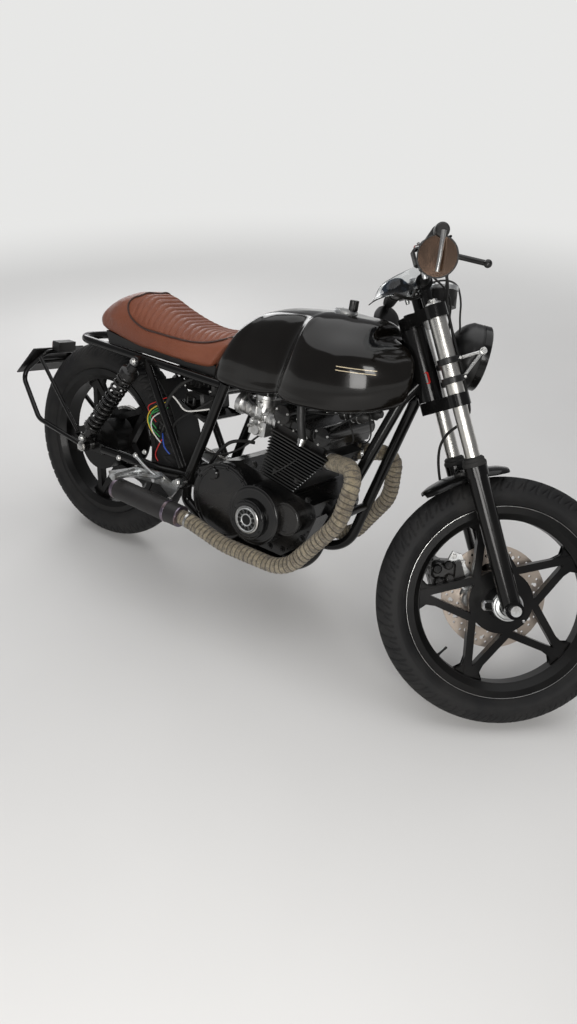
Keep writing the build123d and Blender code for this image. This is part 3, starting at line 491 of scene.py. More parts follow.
def wrapping(name, clean, scorched):
    """Woven heat tape: two sets of yarns across each other in the tape's own coordinates, browned in
    patches and darker where the turns overlap."""
    f = Finish(name, metallic=0.0, specular_ior_level=0.3, sheen_weight=0.25)
    along, girth, _ = f.split(f.skin())
    yarn = f.math("SINE", along * 2600.0 + girth * 150.0)
    weft = f.math("SINE", girth * 420.0 - along * 1100.0)
    crossing = yarn * weft
    part = f.math("FRACT", along / TAPE_TURN + girth)
    # The overlap edge of each turn, where the painted shade goes.
    lap = f.fade(part, 0.0, 0.2, 1.0, 0.0) + f.fade(part, 0.86, 1.0, 0.0, 1.0)
    count = f.math("FLOOR", along / TAPE_TURN + girth)
    shade = f.node("ShaderNodeTexWhiteNoise", {"noise_dimensions": "1D"}, {"W": count})
    scorch = f.fade(f.noise(30.0, 6.0, 0.68), 0.40, 0.66)
    base = f.mix(scorch * 0.6 + shade * 0.4, clean, scorched)
    base = f.mix(f.fade(f.noise(120.0, 3.0, 0.7), 0.46, 0.62, 0.0, 0.6), base, (0.05, 0.036, 0.022))
    # Painted shade in the gaps between the yarns, then painted highlights on the yarns' crowns.
    base = f.mix(f.fade(crossing, -0.9, 0.2, 0.65, 0.0), base, (0.07, 0.05, 0.03))
    base = f.mix(f.fade(crossing, 0.5, 1.0, 0.0, 0.35), base, (0.62, 0.55, 0.40))
    # Painted shade: a dark band where each turn of the tape steps over the last.
    f.set("Base Color", f.mix(lap * 0.85, base, (0.028, 0.022, 0.015)))
    f.set("Roughness", 0.62 + crossing * 0.08)
    f.set("Normal", f.bump(crossing, 0.0009, 0.9))
    return f.material


def leather(name, colour, worn, grain=420.0):
    """Seat hide: pebbled grain, colour rubbed lighter on the crown and darker in the folds."""
    f = Finish(name, metallic=0.0, specular_ior_level=0.4, coat_weight=0.05, coat_roughness=0.3)
    cells = f.cells(grain, "DISTANCE_TO_EDGE")
    fold = f.noise(55.0, 3.0)
    cloud = f.fade(f.noise(8.0, 5.0), 0.3, 0.72)
    base = f.mix(cloud * 0.55, colour, worn)
    # Painted shade: the grain's cell edges darkened as creases.
    f.set("Base Color", f.mix(f.fade(cells, 0.0, 0.12, 0.35, 0.0), base, (0.05, 0.018, 0.01)))
    f.set("Roughness", 0.36 + cloud * 0.12 + fold * 0.06)
    f.set("Normal", f.bump(f.fade(cells, 0.0, 0.25) + fold * 0.7, 0.0005, 0.7))
    return f.material


def clear(name, colour, roughness, thick, smoke=False):
    """Clear plastic or glass, wiped dull in patches. The screen also has a smoked oval in its middle."""
    f = Finish(name, metallic=0.0, transmission_weight=1.0, ior=thick)
    base = f.mix(f.fade(f.noise(12.0, 3.0), 0.3, 0.8), colour, tuple(c * 0.93 for c in colour))
    if smoke:
        u, v, _ = f.split(f.skin())
        off = (u - 0.52) * (u - 0.52) * 9.0 + (v - 0.5) * (v - 0.5) * 26.0
        base = f.mix(f.fade(off, 0.9, 1.05, 1.0, 0.0), base, (0.02, 0.03, 0.045))
    f.set("Base Color", base)
    f.set("Roughness", roughness + f.fade(f.noise(30.0, 4.0), 0.45, 0.8) * 0.05)
    return f.material


HOLE_ROWS = ((0.121, 30, 0.0, 0.0034), (0.107, 30, 0.35, 0.0034), (0.094, 15, 0.2, 0.0034),
             (0.078, 5, 0.3, 0.0095))
"""Distance from the axle, number, shift as a share of the step, and radius of the disc's holes."""


def drilled_disc(name):
    """The brake disc's turned steel with its holes: rows at three distances from the axle, each hole the
    places within its radius of a centre, and five wide slots nearer the hub."""
    metal(name, (0.020, 0.018, 0.0165), (0.014, 0.011, 0.009), 0.42, (1, 1, 6), 0.00002, 0.8)
    f = Finish.of(name)
    x, _, z = f.split(f.drawn(FORK))
    r = f.math("SQRT", x * x + z * z)
    a = f.math("ARCTAN2", z, x) / (2 * math.pi)
    solid = None
    for row, count, shift, radius in HOLE_ROWS:
        step = f.math("FRACT", a * float(count) + (shift + 40.0)) - 0.5
        across = step * (2 * math.pi * row / count)
        out = r - row
        away = f.math("SQRT", across * across * (0.35 if count == 5 else 1.0) + out * out)
        keep = away > radius
        solid = keep if solid is None else solid * keep
    f.set("Alpha", solid)
    return f.material


STRIPE_ROWS, STRIPE_ENDS, STRIPE_RISE, FLANK = (0.742, 0.733), (0.902, 0.992), 0.07, 0.118
"""Metres: the tank's stripes by height and by length, their slope, and how far out the flanks begin."""
TAPE_TURN = 0.0145


def tank_paint(name):
    """The tank's black lacquer with two hair stripes on each flank: thin bands of height between two
    places along the machine, read in the upright machine's own frame."""
    f = Finish(name, coat_weight=0.3, coat_roughness=0.04, metallic=0.0, specular_ior_level=0.22)
    x, y, z = f.split(f.drawn(BIKE))
    level = z - x * STRIPE_RISE
    side = f.math("ABSOLUTE", y) > FLANK
    stripe = None
    for height in STRIPE_ROWS:
        off = f.math("ABSOLUTE", level - height)
        line = f.fade(off, 0.0006, 0.0011, 1.0, 0.0)
        stripe = line if stripe is None else stripe + line
    stripe = stripe * side * (x > STRIPE_ENDS[0]) * (x < STRIPE_ENDS[1])
    cloud = f.fade(f.noise(5.0, 5.0), 0.35, 0.75)
    base = f.mix(cloud * 0.03, (0.0035, 0.0028, 0.0022), (0.10, 0.085, 0.07))
    f.set("Base Color", f.mix(stripe, base, (0.62, 0.52, 0.36)))
    f.set("Roughness", 0.12 + cloud * 0.08 + f.noise(70.0, 4.0) * 0.05)
    f.set("Normal", f.bump(f.noise(260.0, 2.0), 0.00003))
    return f.material


RECIPES = {
    "tank_paint": (tank_paint,),
    "gloss_black": (paint, (0.003,) * 3, 0.14, 0.15, 0.03),
    "frame_black": (paint, (0.003,) * 3, 0.12, 0.15, 0.04),
    "wheel_black": (paint, (0.003,) * 3, 0.28, 0.05, 0.04),
    "engine_black": (castings, (0.004,) * 3, 0.16, 700.0, 0.00004),
    "fin_black": (castings, (0.005,) * 3, 0.34),
    "satin_black": (castings, (0.0045,) * 3, 0.34, 800.0, 0.00005),
    "plastic_black": (castings, (0.007,) * 3, 0.45, 500.0, 0.0001),
    "exhaust_black": (castings, (0.012, 0.011, 0.011), 0.5, 700.0, 0.0001),
    "tyre_rubber": (rubber, (0.010, 0.010, 0.0105)),
    "grip_rubber": (rubber, (0.012,) * 3, 0.55),
    "bright_chrome": (metal, (0.56, 0.55, 0.52), (0.36, 0.35, 0.32), 0.22, (1, 1, 1), 0.000004, 0.5),
    "bare_aluminium": (metal, (0.56, 0.57, 0.57), (0.16, 0.15, 0.13), 0.32, (1, 1, 1), 0.00008, 0.8),
    "disc_steel": (drilled_disc,),
    "carburettor_metal": (metal, (0.70, 0.70, 0.69), (0.26, 0.25, 0.23), 0.30, (1, 1, 1), 0.00008, 0.5),
    "plain_steel": (metal, (0.52, 0.52, 0.51), (0.22, 0.20, 0.18), 0.22, (1, 6, 1), 0.00002, 0.5),
    "heat_tape": (wrapping, (0.43, 0.36, 0.235), (0.13, 0.098, 0.06)),
    "seat_leather": (leather, (0.185, 0.050, 0.022), (0.26, 0.085, 0.042)),
    "piping": (leather, (0.035, 0.012, 0.008), (0.05, 0.02, 0.014), 900.0),
    "clear_screen": (clear, (0.86, 0.88, 0.88), 0.05, 1.2, True),
    "lamp_glass": (clear, (0.95, 0.96, 0.97), 0.02, 1.5),
    "lamp_red": (paint, (0.30, 0.008, 0.008), 0.12, 0.8, 0.05),
    "tinted_steel": (metal, (0.22, 0.19, 0.24), (0.16, 0.10, 0.06), 0.26, (1, 1, 1), 0.00003, 0.8),
    "chain_steel": (metal, (0.34, 0.32, 0.29), (0.10, 0.08, 0.06), 0.36, (1, 1, 1), 0.00003, 0.8),
    "wire_red": (castings, (0.42, 0.012, 0.01), 0.42, 900.0, 0.00003),
    "wire_green": (castings, (0.02, 0.22, 0.05), 0.42, 900.0, 0.00003),
    "wire_blue": (castings, (0.015, 0.06, 0.36), 0.42, 900.0, 0.00003),
    "wire_yellow": (castings, (0.55, 0.40, 0.03), 0.42, 900.0, 0.00003),
    "wire_white": (castings, (0.62, 0.61, 0.58), 0.42, 900.0, 0.00003),
    # The mirror glass is tinted brown as a painted reflection of a wooden door.
    "mirror": (metal, (0.22, 0.15, 0.11), (0.06, 0.035, 0.025), 0.08, (1, 1, 1), 0.000001, 0.9),
}
FINISHES = {}


def finish_named(name):
    """The finish of a name, written the first time it is asked for."""
    if name not in FINISHES:
        kind, *values = RECIPES[name]
        FINISHES[name] = kind(name, *values)
    return FINISHES[name]


# Groups of pieces

TANK_ROWS = (
    # along, out and up at six places from the lower edge to the crown's side, then the crown's along and up
    ((484, 492, 512, 540, 566, 572), (100, 108, 108, 96, 70, 35), (684, 705, 750, 800, 838, 846), (574, 850)),
    ((500, 508, 528, 556, 586, 592), (116, 124, 126, 114, 84, 40), (674, 705, 755, 812, 852, 862), (596, 866)),
    ((580, 585, 592, 606, 625, 630), (126, 132, 133, 122, 90, 44), (667, 705, 760, 825, 868, 881), (634, 885)),
    ((680, 682, 686, 692, 700, 702), (132, 136, 136, 126, 97, 48), (678, 710, 765, 832, 882, 895), (704, 899)),
    ((722, 726, 738, 752, 762, 764), (135, 139, 140, 130, 104, 52), (690, 715, 770, 838, 887, 903), (766, 907)),
    ((738, 744, 760, 772, 778, 780), (152, 158, 162, 152, 118, 56), (692, 715, 775, 842, 888, 905), (782, 909)),
    ((765, 770, 778, 786, 792, 794), (160, 167, 170, 158, 118, 56), (686, 712, 778, 842, 884, 906), (796, 910)),
    ((850, 850, 850, 850, 850, 850), (160, 170, 174, 160, 114, 54), (687, 715, 780, 838, 874, 906), (850, 909)),
    ((930, 930, 930, 930, 930, 930), (142, 156, 162, 150, 104, 50), (696, 722, 785, 838, 872, 900), (930, 904)),
    ((985, 985, 985, 975, 960, 948), (112, 130, 138, 128, 92, 44), (708, 730, 785, 838, 866, 876), (946, 879)),
    ((1020, 1028, 1035, 1020, 990, 975), (76, 86, 92, 86, 66, 34), (722, 742, 790, 838, 866, 874), (960, 876)),
    ((1028, 1045, 1056, 1046, 1015, 990), (50, 58, 62, 58, 48, 28), (722, 745, 800, 845, 868, 872), (962, 874)),
    ((985, 985, 975, 968, 962, 958), (44, 44, 44, 42, 38, 26), (730, 750, 795, 835, 862, 868), (958, 868)),
)


def tank_net():
    """Half sections from the rear to the neck, each run on under the tank to the middle, mirrored to
    whole rings. The first and last rings are gathered in to close the ends."""
    rows = []
    for xs, ys, zs, (crown_x, crown_z) in TANK_ROWS:
        edge = (xs[0], ys[0], zs[0])
        under = [(edge[0] + 4, 0, edge[2] + 14), (edge[0] + 3, edge[1] * 0.5, edge[2] + 12),
                 (edge[0] + 1, edge[1] * 0.9, edge[2] + 5)]
        rows.append(under + list(zip(xs, ys, zs)) + [(crown_x, 0, crown_z)])
    half = np.array(rows, float)
    first = half[0] * (1, 0.55, 1) + ((28, 0, 0), ) * half.shape[1]
    last = half[-1] * (1, 0.25, 1) + ((-26, 0, 0), ) * half.shape[1]
    return np.concatenate([first[None], half, last[None]])


def build_tank(settings):
    """The tank's skin through its net of points, with the flanks' creases and the neck's notch."""
    half = woven(tank_net(), 7, 6)
    left = half[:, 1:-1][:, ::-1] * (1, -1, 1)
    ring = np.concatenate([half, left], 1)
    shape = Shape(BIKE)
    shape.grid(ring, "tank_paint", caps=True)
    edge = tank_net()[2:-2, 3]
    for side in (-1, 1):
        seam = through(edge * (1, side, 1) + (0, side * 0.6, -0.6), 6)
        shape.bar("gloss_black", seam, 2.1, 10)
    shape.build("tank_skin", "chassis", "gloss_black", ["fuel_tank"], crease=50)
    cap = Shape(BIKE)
    cap.revolve("bare_aluminium", [(0, 10), (26, 9.5), (29.5, 8), (31.5, 4), (31.5, 0), (0, 0)], (805, 0, 907))
    knob = 11.5 + 0.8 * np.cos(np.radians(np.arange(96) * 30))
    rings = np.stack([np.zeros(96), knob * 0.93, knob, knob, knob * 0.93, np.zeros(96)])
    height = np.array([0.0, 0.0, 2.0, 24.0, 26.0, 26.0])[:, None]
    angle = np.radians(np.arange(96) * 3.75)
    cap.grid(np.stack([825 + rings * np.cos(angle), rings * np.sin(angle),
                       np.broadcast_to(917 + height, rings.shape)], -1), "satin_black")
    for x, y in around(6, 60, 20, 25):
        screw(cap, (805 + x, y, 916), (0, 0, 1), 2.2, 1.6)
    cap.build("filler_ring", "chassis", "bare_aluminium", ["filler_cap"])


def screw(shape, at, axis, radius, height, finish="plain_steel", hexed=False):
    """A cap screw with its socket, or a hexagon head with a washer under it."""
    at, axis = np.asarray(at, float), unit(axis)
    if hexed:
        washer = [(0, height * 0.25), (radius * 1.25, height * 0.25), (radius * 1.3, 0), (0, 0)]
        shape.revolve(finish, washer, at, axis, 16)
        head = [(0, height), (radius * 0.86, height), (radius, height * 0.88), (radius, height * 0.2),
                (0, height * 0.2)]
        shape.revolve(finish, head, at, axis, 6, 0.3)
        return
    profile = [(0, height * 0.45), (radius * 0.5, height * 0.45), (radius * 0.55, height),
               (radius * 0.86, height), (radius, height * 0.85), (radius, 0), (0, 0)]
    shape.revolve(finish, profile, at, axis, 12)


SEAT_ROWS = (
    (-50, 34, 721, 42, 728, 36, 735, 16, 738),
    (-24, 66, 712, 72, 732, 60, 754, 30, 767),
    (26, 90, 702, 95, 735, 80, 772, 44, 797),
    (70, 100, 697, 106, 738, 86, 795, 46, 815),
    (134, 108, 690, 114, 735, 88, 805, 48, 831),
    (171, 110, 686, 117, 732, 92, 795, 50, 828),
    (240, 112, 686, 118, 726, 96, 772, 52, 806),
    (320, 112, 685, 118, 722, 98, 757, 54, 785),
    (400, 110, 690, 116, 724, 98, 755, 54, 777),
    (450, 106, 694, 112, 730, 96, 765, 52, 783),
    (500, 104, 700, 108, 738, 92, 778, 49, 790),
)
SEAM_LINE = ((123, 817), (116, 801), (122, 787), (141, 767), (172, 753), (202, 745), (263, 743), (323, 742),
             (381, 744), (436, 754), (477, 770), (500, 782))
"""Where the piping runs along the seat's flank, from the top of the hump to the nose."""


def seat_form(inset):
    """Closed ring sections of the seat, drawn in by the inset where the padding will swell."""
    rows = []
    for x, *pairs in SEAT_ROWS:
        half = list(zip(pairs[::2], pairs[1::2]))
        low, side, seam, crown = half
        rows.append([(x, 0, low[1]), (x, low[0] * 0.6, low[1]), (x, low[0] - inset, low[1]),
                     (x, side[0] - inset, side[1]), (x, seam[0] - inset, seam[1] - inset),
                     (x, crown[0], crown[1] - inset), (x, 0, crown[1] + 3 - inset)])
    half = np.array(rows, float)
    nose = np.clip((half[..., 2] - 700) / 90, 0, 1)
    half[-1, :, 0] = 478 + 50 * nose[-1] ** 1.3 - 6
    half[-2, :, 0] = 448 + 8 * nose[-2]
    half[0, :, 0] += inset
    smooth = woven(half, 6, 4)
    return np.concatenate([smooth, smooth[:, 1:-1][:, ::-1] * (1, -1, 1)], 1)


def swell(piece, cap, voxel=0.006):
    """Let the seat's hide be blown tight over its foam: a cloth simulation with pressure from inside
    and no weight, with no point let go further than the cap."""
    scene = bpy.context.scene
    remesh = piece.modifiers.new("Even", "REMESH")
    remesh.mode, remesh.voxel_size = "VOXEL", voxel
    graph = bpy.context.evaluated_depsgraph_get()
    even = bpy.data.meshes.new_from_object(piece.evaluated_get(graph))
    piece.modifiers.clear()
    piece.data = even
    start = np.empty(len(even.vertices) * 3, np.float32)
    even.vertices.foreach_get("co", start)
    cloth = piece.modifiers.new("Hide", "CLOTH")
    cloth.settings.use_pressure, cloth.settings.uniform_pressure_force = True, 4.0
    cloth.settings.effector_weights.gravity = 0.0
    cloth.point_cache.frame_start, cloth.point_cache.frame_end = 1, 20
    for frame_number in range(1, 21):
        scene.frame_set(frame_number)
    graph = bpy.context.evaluated_depsgraph_get()
    blown = bpy.data.meshes.new_from_object(piece.evaluated_get(graph))
    piece.modifiers.clear()
    finish = np.empty_like(start)
    blown.vertices.foreach_get("co", finish)
    move = (finish - start).reshape(-1, 3)
    far = np.linalg.norm(move, axis=1, keepdims=True)
    move *= np.minimum(1, cap / np.maximum(far, 1e-9))
    blown.vertices.foreach_set("co", (start.reshape(-1, 3) + move).ravel())
    piece.data = blown
    scene.frame_set(1)


def sew(piece, settings):
    """Press the sewn channels into the top panel and the seam's valley along its piping: the channels
    are pillows between lines across the seat at an even pitch, and the valley is a narrow dip."""
    mesh = piece.data
    flat = np.empty(len(mesh.vertices) * 3, np.float32)
    mesh.vertices.foreach_get("co", flat)
    points = (flat.reshape(-1, 3).astype(float) - BIKE.origin) @ BIKE.turning * 1000
    normal = np.empty(len(mesh.vertices) * 3, np.float32)
    mesh.vertices.foreach_get("normal", normal)
    normal = normal.reshape(-1, 3) @ BIKE.turning
    x, y, z = points.T
    seam = np.array(SEAM_LINE, float)
    front = seam[3:]
    seam_z = np.interp(x, front[:, 0], front[:, 1])
    above = np.clip((z - seam_z - 3) / 6, 0, 1)
    up = np.clip((normal[:, 2] - 0.15) / 0.35, 0, 1)
    part = (x - 150) / (settings.rib_pitch * 1000)
    pillow = 1 - np.abs(2 * (part - np.floor(part)) - 1) ** 3.2
    inside = np.clip((x - 142) / 8, 0, 1) * np.clip((488 - x) / 6, 0, 1) * above * up
    lift = settings.rib_height * 1000 * (pillow - 1) * inside
    near = np.abs(z - seam_z)
    lift -= 2.2 * np.exp(-(near / 4.0) ** 2) * np.clip((x - 135) / 8, 0, 1) * (np.abs(y) > 70)
    points = points + normal * lift[:, None]
    mesh.vertices.foreach_set("co", BIKE(points).astype(np.float32).ravel())


def build_seat(settings):
    """The stuffed seat: blown tight, then ribbed and piped."""
    shape = Shape(BIKE)
    shape.grid(seat_form(5.0), "seat_leather", caps=True)
    piece = shape.build("seat_hide", "chassis", "seat_leather", ["seat"], crease=80)
    swell(piece, 0.007)
    smooth = piece.modifiers.new("Smooth", "SUBSURF")
    smooth.levels = smooth.render_levels = 1
    graph = bpy.context.evaluated_depsgraph_get()
    piece.data = bpy.data.meshes.new_from_object(piece.evaluated_get(graph))
    piece.modifiers.clear()
    sew(piece, settings)
    piece.data.polygons.foreach_set("use_smooth", np.ones(len(piece.data.polygons), bool))
    if not piece.data.materials:
        piece.data.materials.append(finish_named("seat_leather"))
    pipes = Shape(BIKE)
    tree = BVHTree.FromPolygons([v.co for v in piece.data.vertices], [p.vertices for p in piece.data.polygons])
    flank = [((x, -300, z), (0, 1, 0)) for x, z in SEAM_LINE[::-1]]
    crest = [((134 + 14 * math.cos(y / 52), y, 1000), (0, 0, -1)) for y in range(-60, 61, 12)]
    other = [((x, 300, z), (0, -1, 0)) for x, z in SEAM_LINE]
    spots = []
    for start, way in flank + crest + other:
        hit, normal, _, _ = tree.ray_cast(BIKE(start), BIKE.turning @ way)
        if hit is not None:
            spots.append((np.array(hit + normal * 0.0012) - BIKE.origin) @ BIKE.turning * 1000)
    pipes.bar("piping", through(spots, 6), 2.9, 10, (1, 0, 0.3))
    pipes.build("seat_piping", "chassis", "seat_leather")


def tread(along, across, pitch, depth, width, crown):
    """Depth cut at a place on the tread: curved slanting sipes at an even pitch on each shoulder, half a
    pitch apart left to right, and a wave of groove beside the middle."""
    side = np.where(across > 0, 0.5, 0.0)
    out = np.abs(across)
    line = along / pitch + side + 0.55 * np.clip((out - 12) / 40, 0, 1) ** 0.8
    off = np.abs(line - np.floor(line) - 0.5) * pitch
    cut = np.clip((width / 2 + 0.9 - off) / 1.8, 0, 1) * np.clip((out - 11) / 3, 0, 1)
    cut = cut * np.clip((crown - out) / 4, 0, 1)
    short = along / pitch + 0.5 - side + 0.9 * ((out - 30) / 40)
    near = np.abs(short - np.floor(short) - 0.5) * pitch
    second = np.clip((width / 2 - near) / 1.6, 0, 1) * (out > 34) * np.clip((crown - 4 - out) / 4, 0, 1) * 0.9
    return depth * np.maximum(cut, second)


def build_tyre(name, place, body, radius, width, rim_half, node, pitch, settings):
    """A tyre's skin from bead to bead: a half-round crown with its grooves cut in, a sidewall with a
    raised band, and the bead turned in under the rim's edge."""
    half, centre = width / 2, radius - width / 2
    angle = np.linspace(-math.pi / 2, math.pi / 2, 81)
    crown = np.stack([centre + half * np.cos(angle), half * np.sin(angle)], 1)
    wall = through([(BEAD_RADIUS + 9, rim_half - 6), (BEAD_RADIUS + 13, rim_half - 2.5),
                    (BEAD_RADIUS + 18, rim_half + 2.5), (BEAD_RADIUS + 27, half - 4), (centre, half)], 6)[:-1]
    outer = np.concatenate([wall * (1, -1), crown, wall[::-1]])
    inner = np.stack([np.full(7, BEAD_RADIUS + 9.0), np.linspace(rim_half - 9, 9 - rim_half, 7)], 1)
    profile = np.concatenate([outer, inner])
    rows = int(round(2 * math.pi * radius / pitch)) * 12
    turned = np.arange(rows) * 2 * math.pi / rows
    across = np.zeros(len(profile))
    first = len(wall)
    across[first:first + 81] = half * angle
    along = turned[:, None] * radius
    crown_only = np.zeros(len(profile))
    crown_only[first:first + 81] = 1
    cut = tread(along, across[None], 2 * math.pi * radius / round(2 * math.pi * radius / pitch),
                settings.tread_depth * 1000, 5.2, half * 1.28) * crown_only
    slope = np.gradient(profile, axis=0)
    normal = unit(np.stack([slope[:, 1], -slope[:, 0]], 1))
    r = profile[None, :, 0] - cut * normal[None, :, 0]
    y = profile[None, :, 1] - cut * normal[None, :, 1]
    ring = np.stack([r * np.sin(turned)[:, None], y, r * np.cos(turned)[:, None]], -1)
    shape = Shape(place)
    shape.grid(ring, "tyre_rubber", closed=True)
    for side in (-1, 1):
        for at in (BEAD_RADIUS + 21, centre + 2):
            lip = [(at - 1.4, side * (np.interp(at - 1.4, wall[:, 0], wall[:, 1]) - 0.4)),
                   (at, side * (np.interp(at, wall[:, 0], wall[:, 1]) + 0.8)),
                   (at + 1.4, side * (np.interp(at + 1.4, wall[:, 0], wall[:, 1]) - 0.4))]
            shape.revolve("tyre_rubber", lip, (0, 0, 0), (0, 1, 0), 160)
    shape.build(name, body, "tyre_rubber", [node], crease=60)


def build_tyres(settings):
    """Both tyres."""
    build_tyre("front_tread", FRONT, "front_wheel", FRONT_RADIUS, FRONT_WIDTH, FRONT_RIM_HALF, "front_tyre", 33,
               settings)
    build_tyre("rear_tread", REAR, "rear_wheel", REAR_RADIUS, REAR_WIDTH, REAR_RIM_HALF, "rear_tyre", 36,
               settings)


HEADER_ROUTES = {
    "right": (((869, -72, 540), (1003, -150, 570), (994, -177, 430), (868, -188, 250), (660, -195, 247),
               (528, -198.5, 273.8), (498, -199, 274)), (45, 110, 110, 300, 120)),
    "left": (((869, 72, 540), (975, 116, 560), (978, 126, 430), (868, 150, 255), (660, 182, 247),
              (528, 198.5, 273.8), (498, 199, 274)), (40, 110, 110, 300, 120)),
}


def build_wraps(settings):
    """The headers in heat tape: a bent pipe whose skin steps up at each turn of the tape, with a steel
    tie at both ends, a flange at the port and a tinted collar at the silencer."""
    for side, (corners, bends) in HEADER_ROUTES.items():
        line = pipe_bends(corners, bends, 1.5)
        run = spaced(line)
        turns = run / (settings.tape_turn * 1000)
        sides = 24
        phase = turns[:, None] + np.arange(sides)[None] / sides
        lap = phase - np.floor(phase)
        wander = 0.25 * np.sin(run / 31)[:, None]
        radius = 20.2 + 2.5 * np.clip(1 - lap, 0, 1) ** 0.6 * np.clip(lap / 0.11, 0, 1) + wander
        shape = Shape(BIKE)
        shape.grid(tube(line, radius, sides), "heat_tape", caps=True, span=run[-1] / 1000)
        for at in (16, len(line) - 22):
            direction = unit(line[at + 1] - line[at - 1])
            band = [(22.2, -4), (23.4, -3.4), (23.4, 3.4), (22.2, 4)]
            shape.revolve("plain_steel", band, line[at], direction, 40)
        start = unit(line[3] - line[0])
        flange = [(21, 0), (27, 0), (27, 7), (21, 8.5)]
        shape.revolve("exhaust_black", flange, line[0] + start * 2, start, 36)
        collar = [(22.5, -2), (31, 0), (31.6, 1), (31.6, 5), (30, 7)]
        end = unit(line[-1] - line[-4])
        shape.revolve("tinted_steel", collar, line[-1] - end * 4, end, 44)
        shape.build("header_tape_" + side, "chassis", "pipe_wrap", ["header_" + side])


SHOCK_TOP, SHOCK_FOOT, SHOCK_OUT = np.array((214.0, 0, 652)), np.array((12.0, 0, 358)), 134
ADJUSTER_TEETH, COIL_TURNS, COIL_RADIUS = 14, 12.5, 22.5


def build_springs(settings):
    """Rear spring units: damper with its lower collar, top cover, coil, adjuster teeth, eyes and nuts."""
    along = unit(SHOCK_TOP - SHOCK_FOOT)
    span = np.linalg.norm(SHOCK_TOP - SHOCK_FOOT)
    for side, name in ((-1, "right"), (1, "left")):
        foot = SHOCK_FOOT + (0, side * SHOCK_OUT, 0)
        shape = Shape(BIKE)
        shape.revolve("engine_black", [(0, 12), (12, 12), (13, 24), (13, 46), (21, 48), (27, 50), (27.5, 53),
                                       (27.5, 58), (25, 60), (12, 60), (12, 70), (15, 72), (15, 200), (14, 210),
                                       (8, 212), (8, span - 60), (0, span - 60)], foot, along, 44)
        shape.revolve("engine_black", [(0, span - 14), (15, span - 14), (16, span - 36), (24, span - 40),
                                       (27, span - 42), (27.5, span - 46), (27.5, span - 60), (24, span - 63),
                                       (0, span - 63)], foot, along, 44)
        t = np.linspace(0, 1, 760)
        low, high = 62, span - 64
        height = low + (high - low) * np.clip((t - 0.04) / 0.92, 0, 1)
        first, second = square_to(along, (0, 1, 0))
        a = t * COIL_TURNS * 2 * math.pi
        outwards = np.cos(a)[:, None] * first + np.sin(a)[:, None] * second
        coil = foot + height[:, None] * along + COIL_RADIUS * outwards
        shape.bar("engine_black", coil, settings.spring_wire * 500, 12, along)
        for k in range(ADJUSTER_TEETH):
            b = k * 2 * math.pi / ADJUSTER_TEETH
            at = foot + along * 54 + 27 * (math.cos(b) * first + math.sin(b) * second)
            shape.block("satin_black", at, (3, 3, 7))
        for h in (0, span):
            eye = foot + along * h
            shape.revolve("engine_black", [(8.6, -12), (15, -12), (16, -10), (16, 10), (15, 12), (8.6, 12)],
                          eye, (0, 1, 0), 32)
            shape.revolve("plain_steel", [(0, 0), (11, 0), (11, 3), (9, 4), (0, 4)], eye + (0, side * 12.4, 0),
                          (0, side, 0), 24)
            screw(shape, eye + (0, side * 16, 0), (0, side, 0), 8, 7, hexed=True)
        shape.build("spring_unit_" + name, "chassis", "satin_black", ["shock_" + name])


def build_wheels(settings):
    """What a wheel carries besides its casting: beads and a line on each rim edge, a valve, gussets
    where the star's points meet the rim, and the disc's bolts."""
    for name, place, rim_half in (("front", FRONT, FRONT_RIM_HALF), ("rear", REAR, REAR_RIM_HALF)):
        shape = Shape(place)
        # The front rim's edge line is bright steel as a painted highlight; the rear's stays black.
        edge, line_finish = BEAD_RADIUS + 12, "plain_steel" if name == "front" else "wheel_black"
        for side in (-1, 1):
            shape.revolve("wheel_black", [(edge - 4.0, rim_half - 1.0), (edge - 1.6, rim_half + 0.5),
                                          (edge + 0.2, rim_half + 0.4), (edge + 0.9, rim_half - 1.0)],
                          (0, 0, 0), (0, side, 0), 220)
            line = [(edge - 0.9, rim_half + 0.42), (edge - 0.6, rim_half + 0.85), (edge + 0.1, rim_half + 0.8),
                    (edge + 0.3, rim_half + 0.3)]
            shape.revolve(line_finish, line, (0, 0, 0), (0, side, 0), 220)
            shape.revolve("wheel_black", [(206, rim_half - 15), (208, rim_half - 13.4), (211, rim_half - 14)],
                          (0, 0, 0), (0, side, 0), 160)
        shape.revolve("grip_rubber", [(0, 0), (4, 0), (4.2, 4), (3, 8), (2.6, 24), (3.2, 25), (3.2, 32),
                                      (0, 33)], (-209 * math.sin(1.1), 6, -209 * math.cos(1.1)),
                      (math.sin(1.1), 0, math.cos(1.1)), 14)
        offset = STAR_TURN + (RAKE if name == "front" else 0)
        t = np.linspace(0, 1, 9)[:, None]
        for k in range(5):
            for side in (-1, 1):
                foot = np.array((206.5 * math.cos(0.19), side * 206.5 * math.sin(0.19)))
                heel, pull, tip = np.array(((206.5, side * 4.0), (199.0, side * 15.0), (160.0, side * 26.5)))
                curve = (1 - t) ** 2 * foot + 2 * (t * (1 - t)) * pull + t ** 2 * tip
                outline = np.vstack([curve, (tip * (1, 0.7))[None], heel[None]])
                spin = math.radians(offset + 72 * k)
                gusset = outline @ np.array([[math.cos(spin), math.sin(spin)],
                                             [-math.sin(spin), math.cos(spin)]])
                shape.slab("wheel_black", gusset, -8.5, 8.5, 1.5)
        shape.build(name + "_wheel_trim", name + "_wheel", "gloss_black")
    hub = Shape(FRONT)
    for up, along in around(6, 60, 12, 76):
        screw(hub, (along, 65, up), (0, 1, 0), 5, 5, hexed=True)
    hub.build("disc_bolts", "front_wheel", "plain_steel")


LEG_OUT = 98
GRIP_V, GRIP_U = -13, 838
"""Millimetres in the fork's frame: a leg's distance from the middle, and the grips' line."""


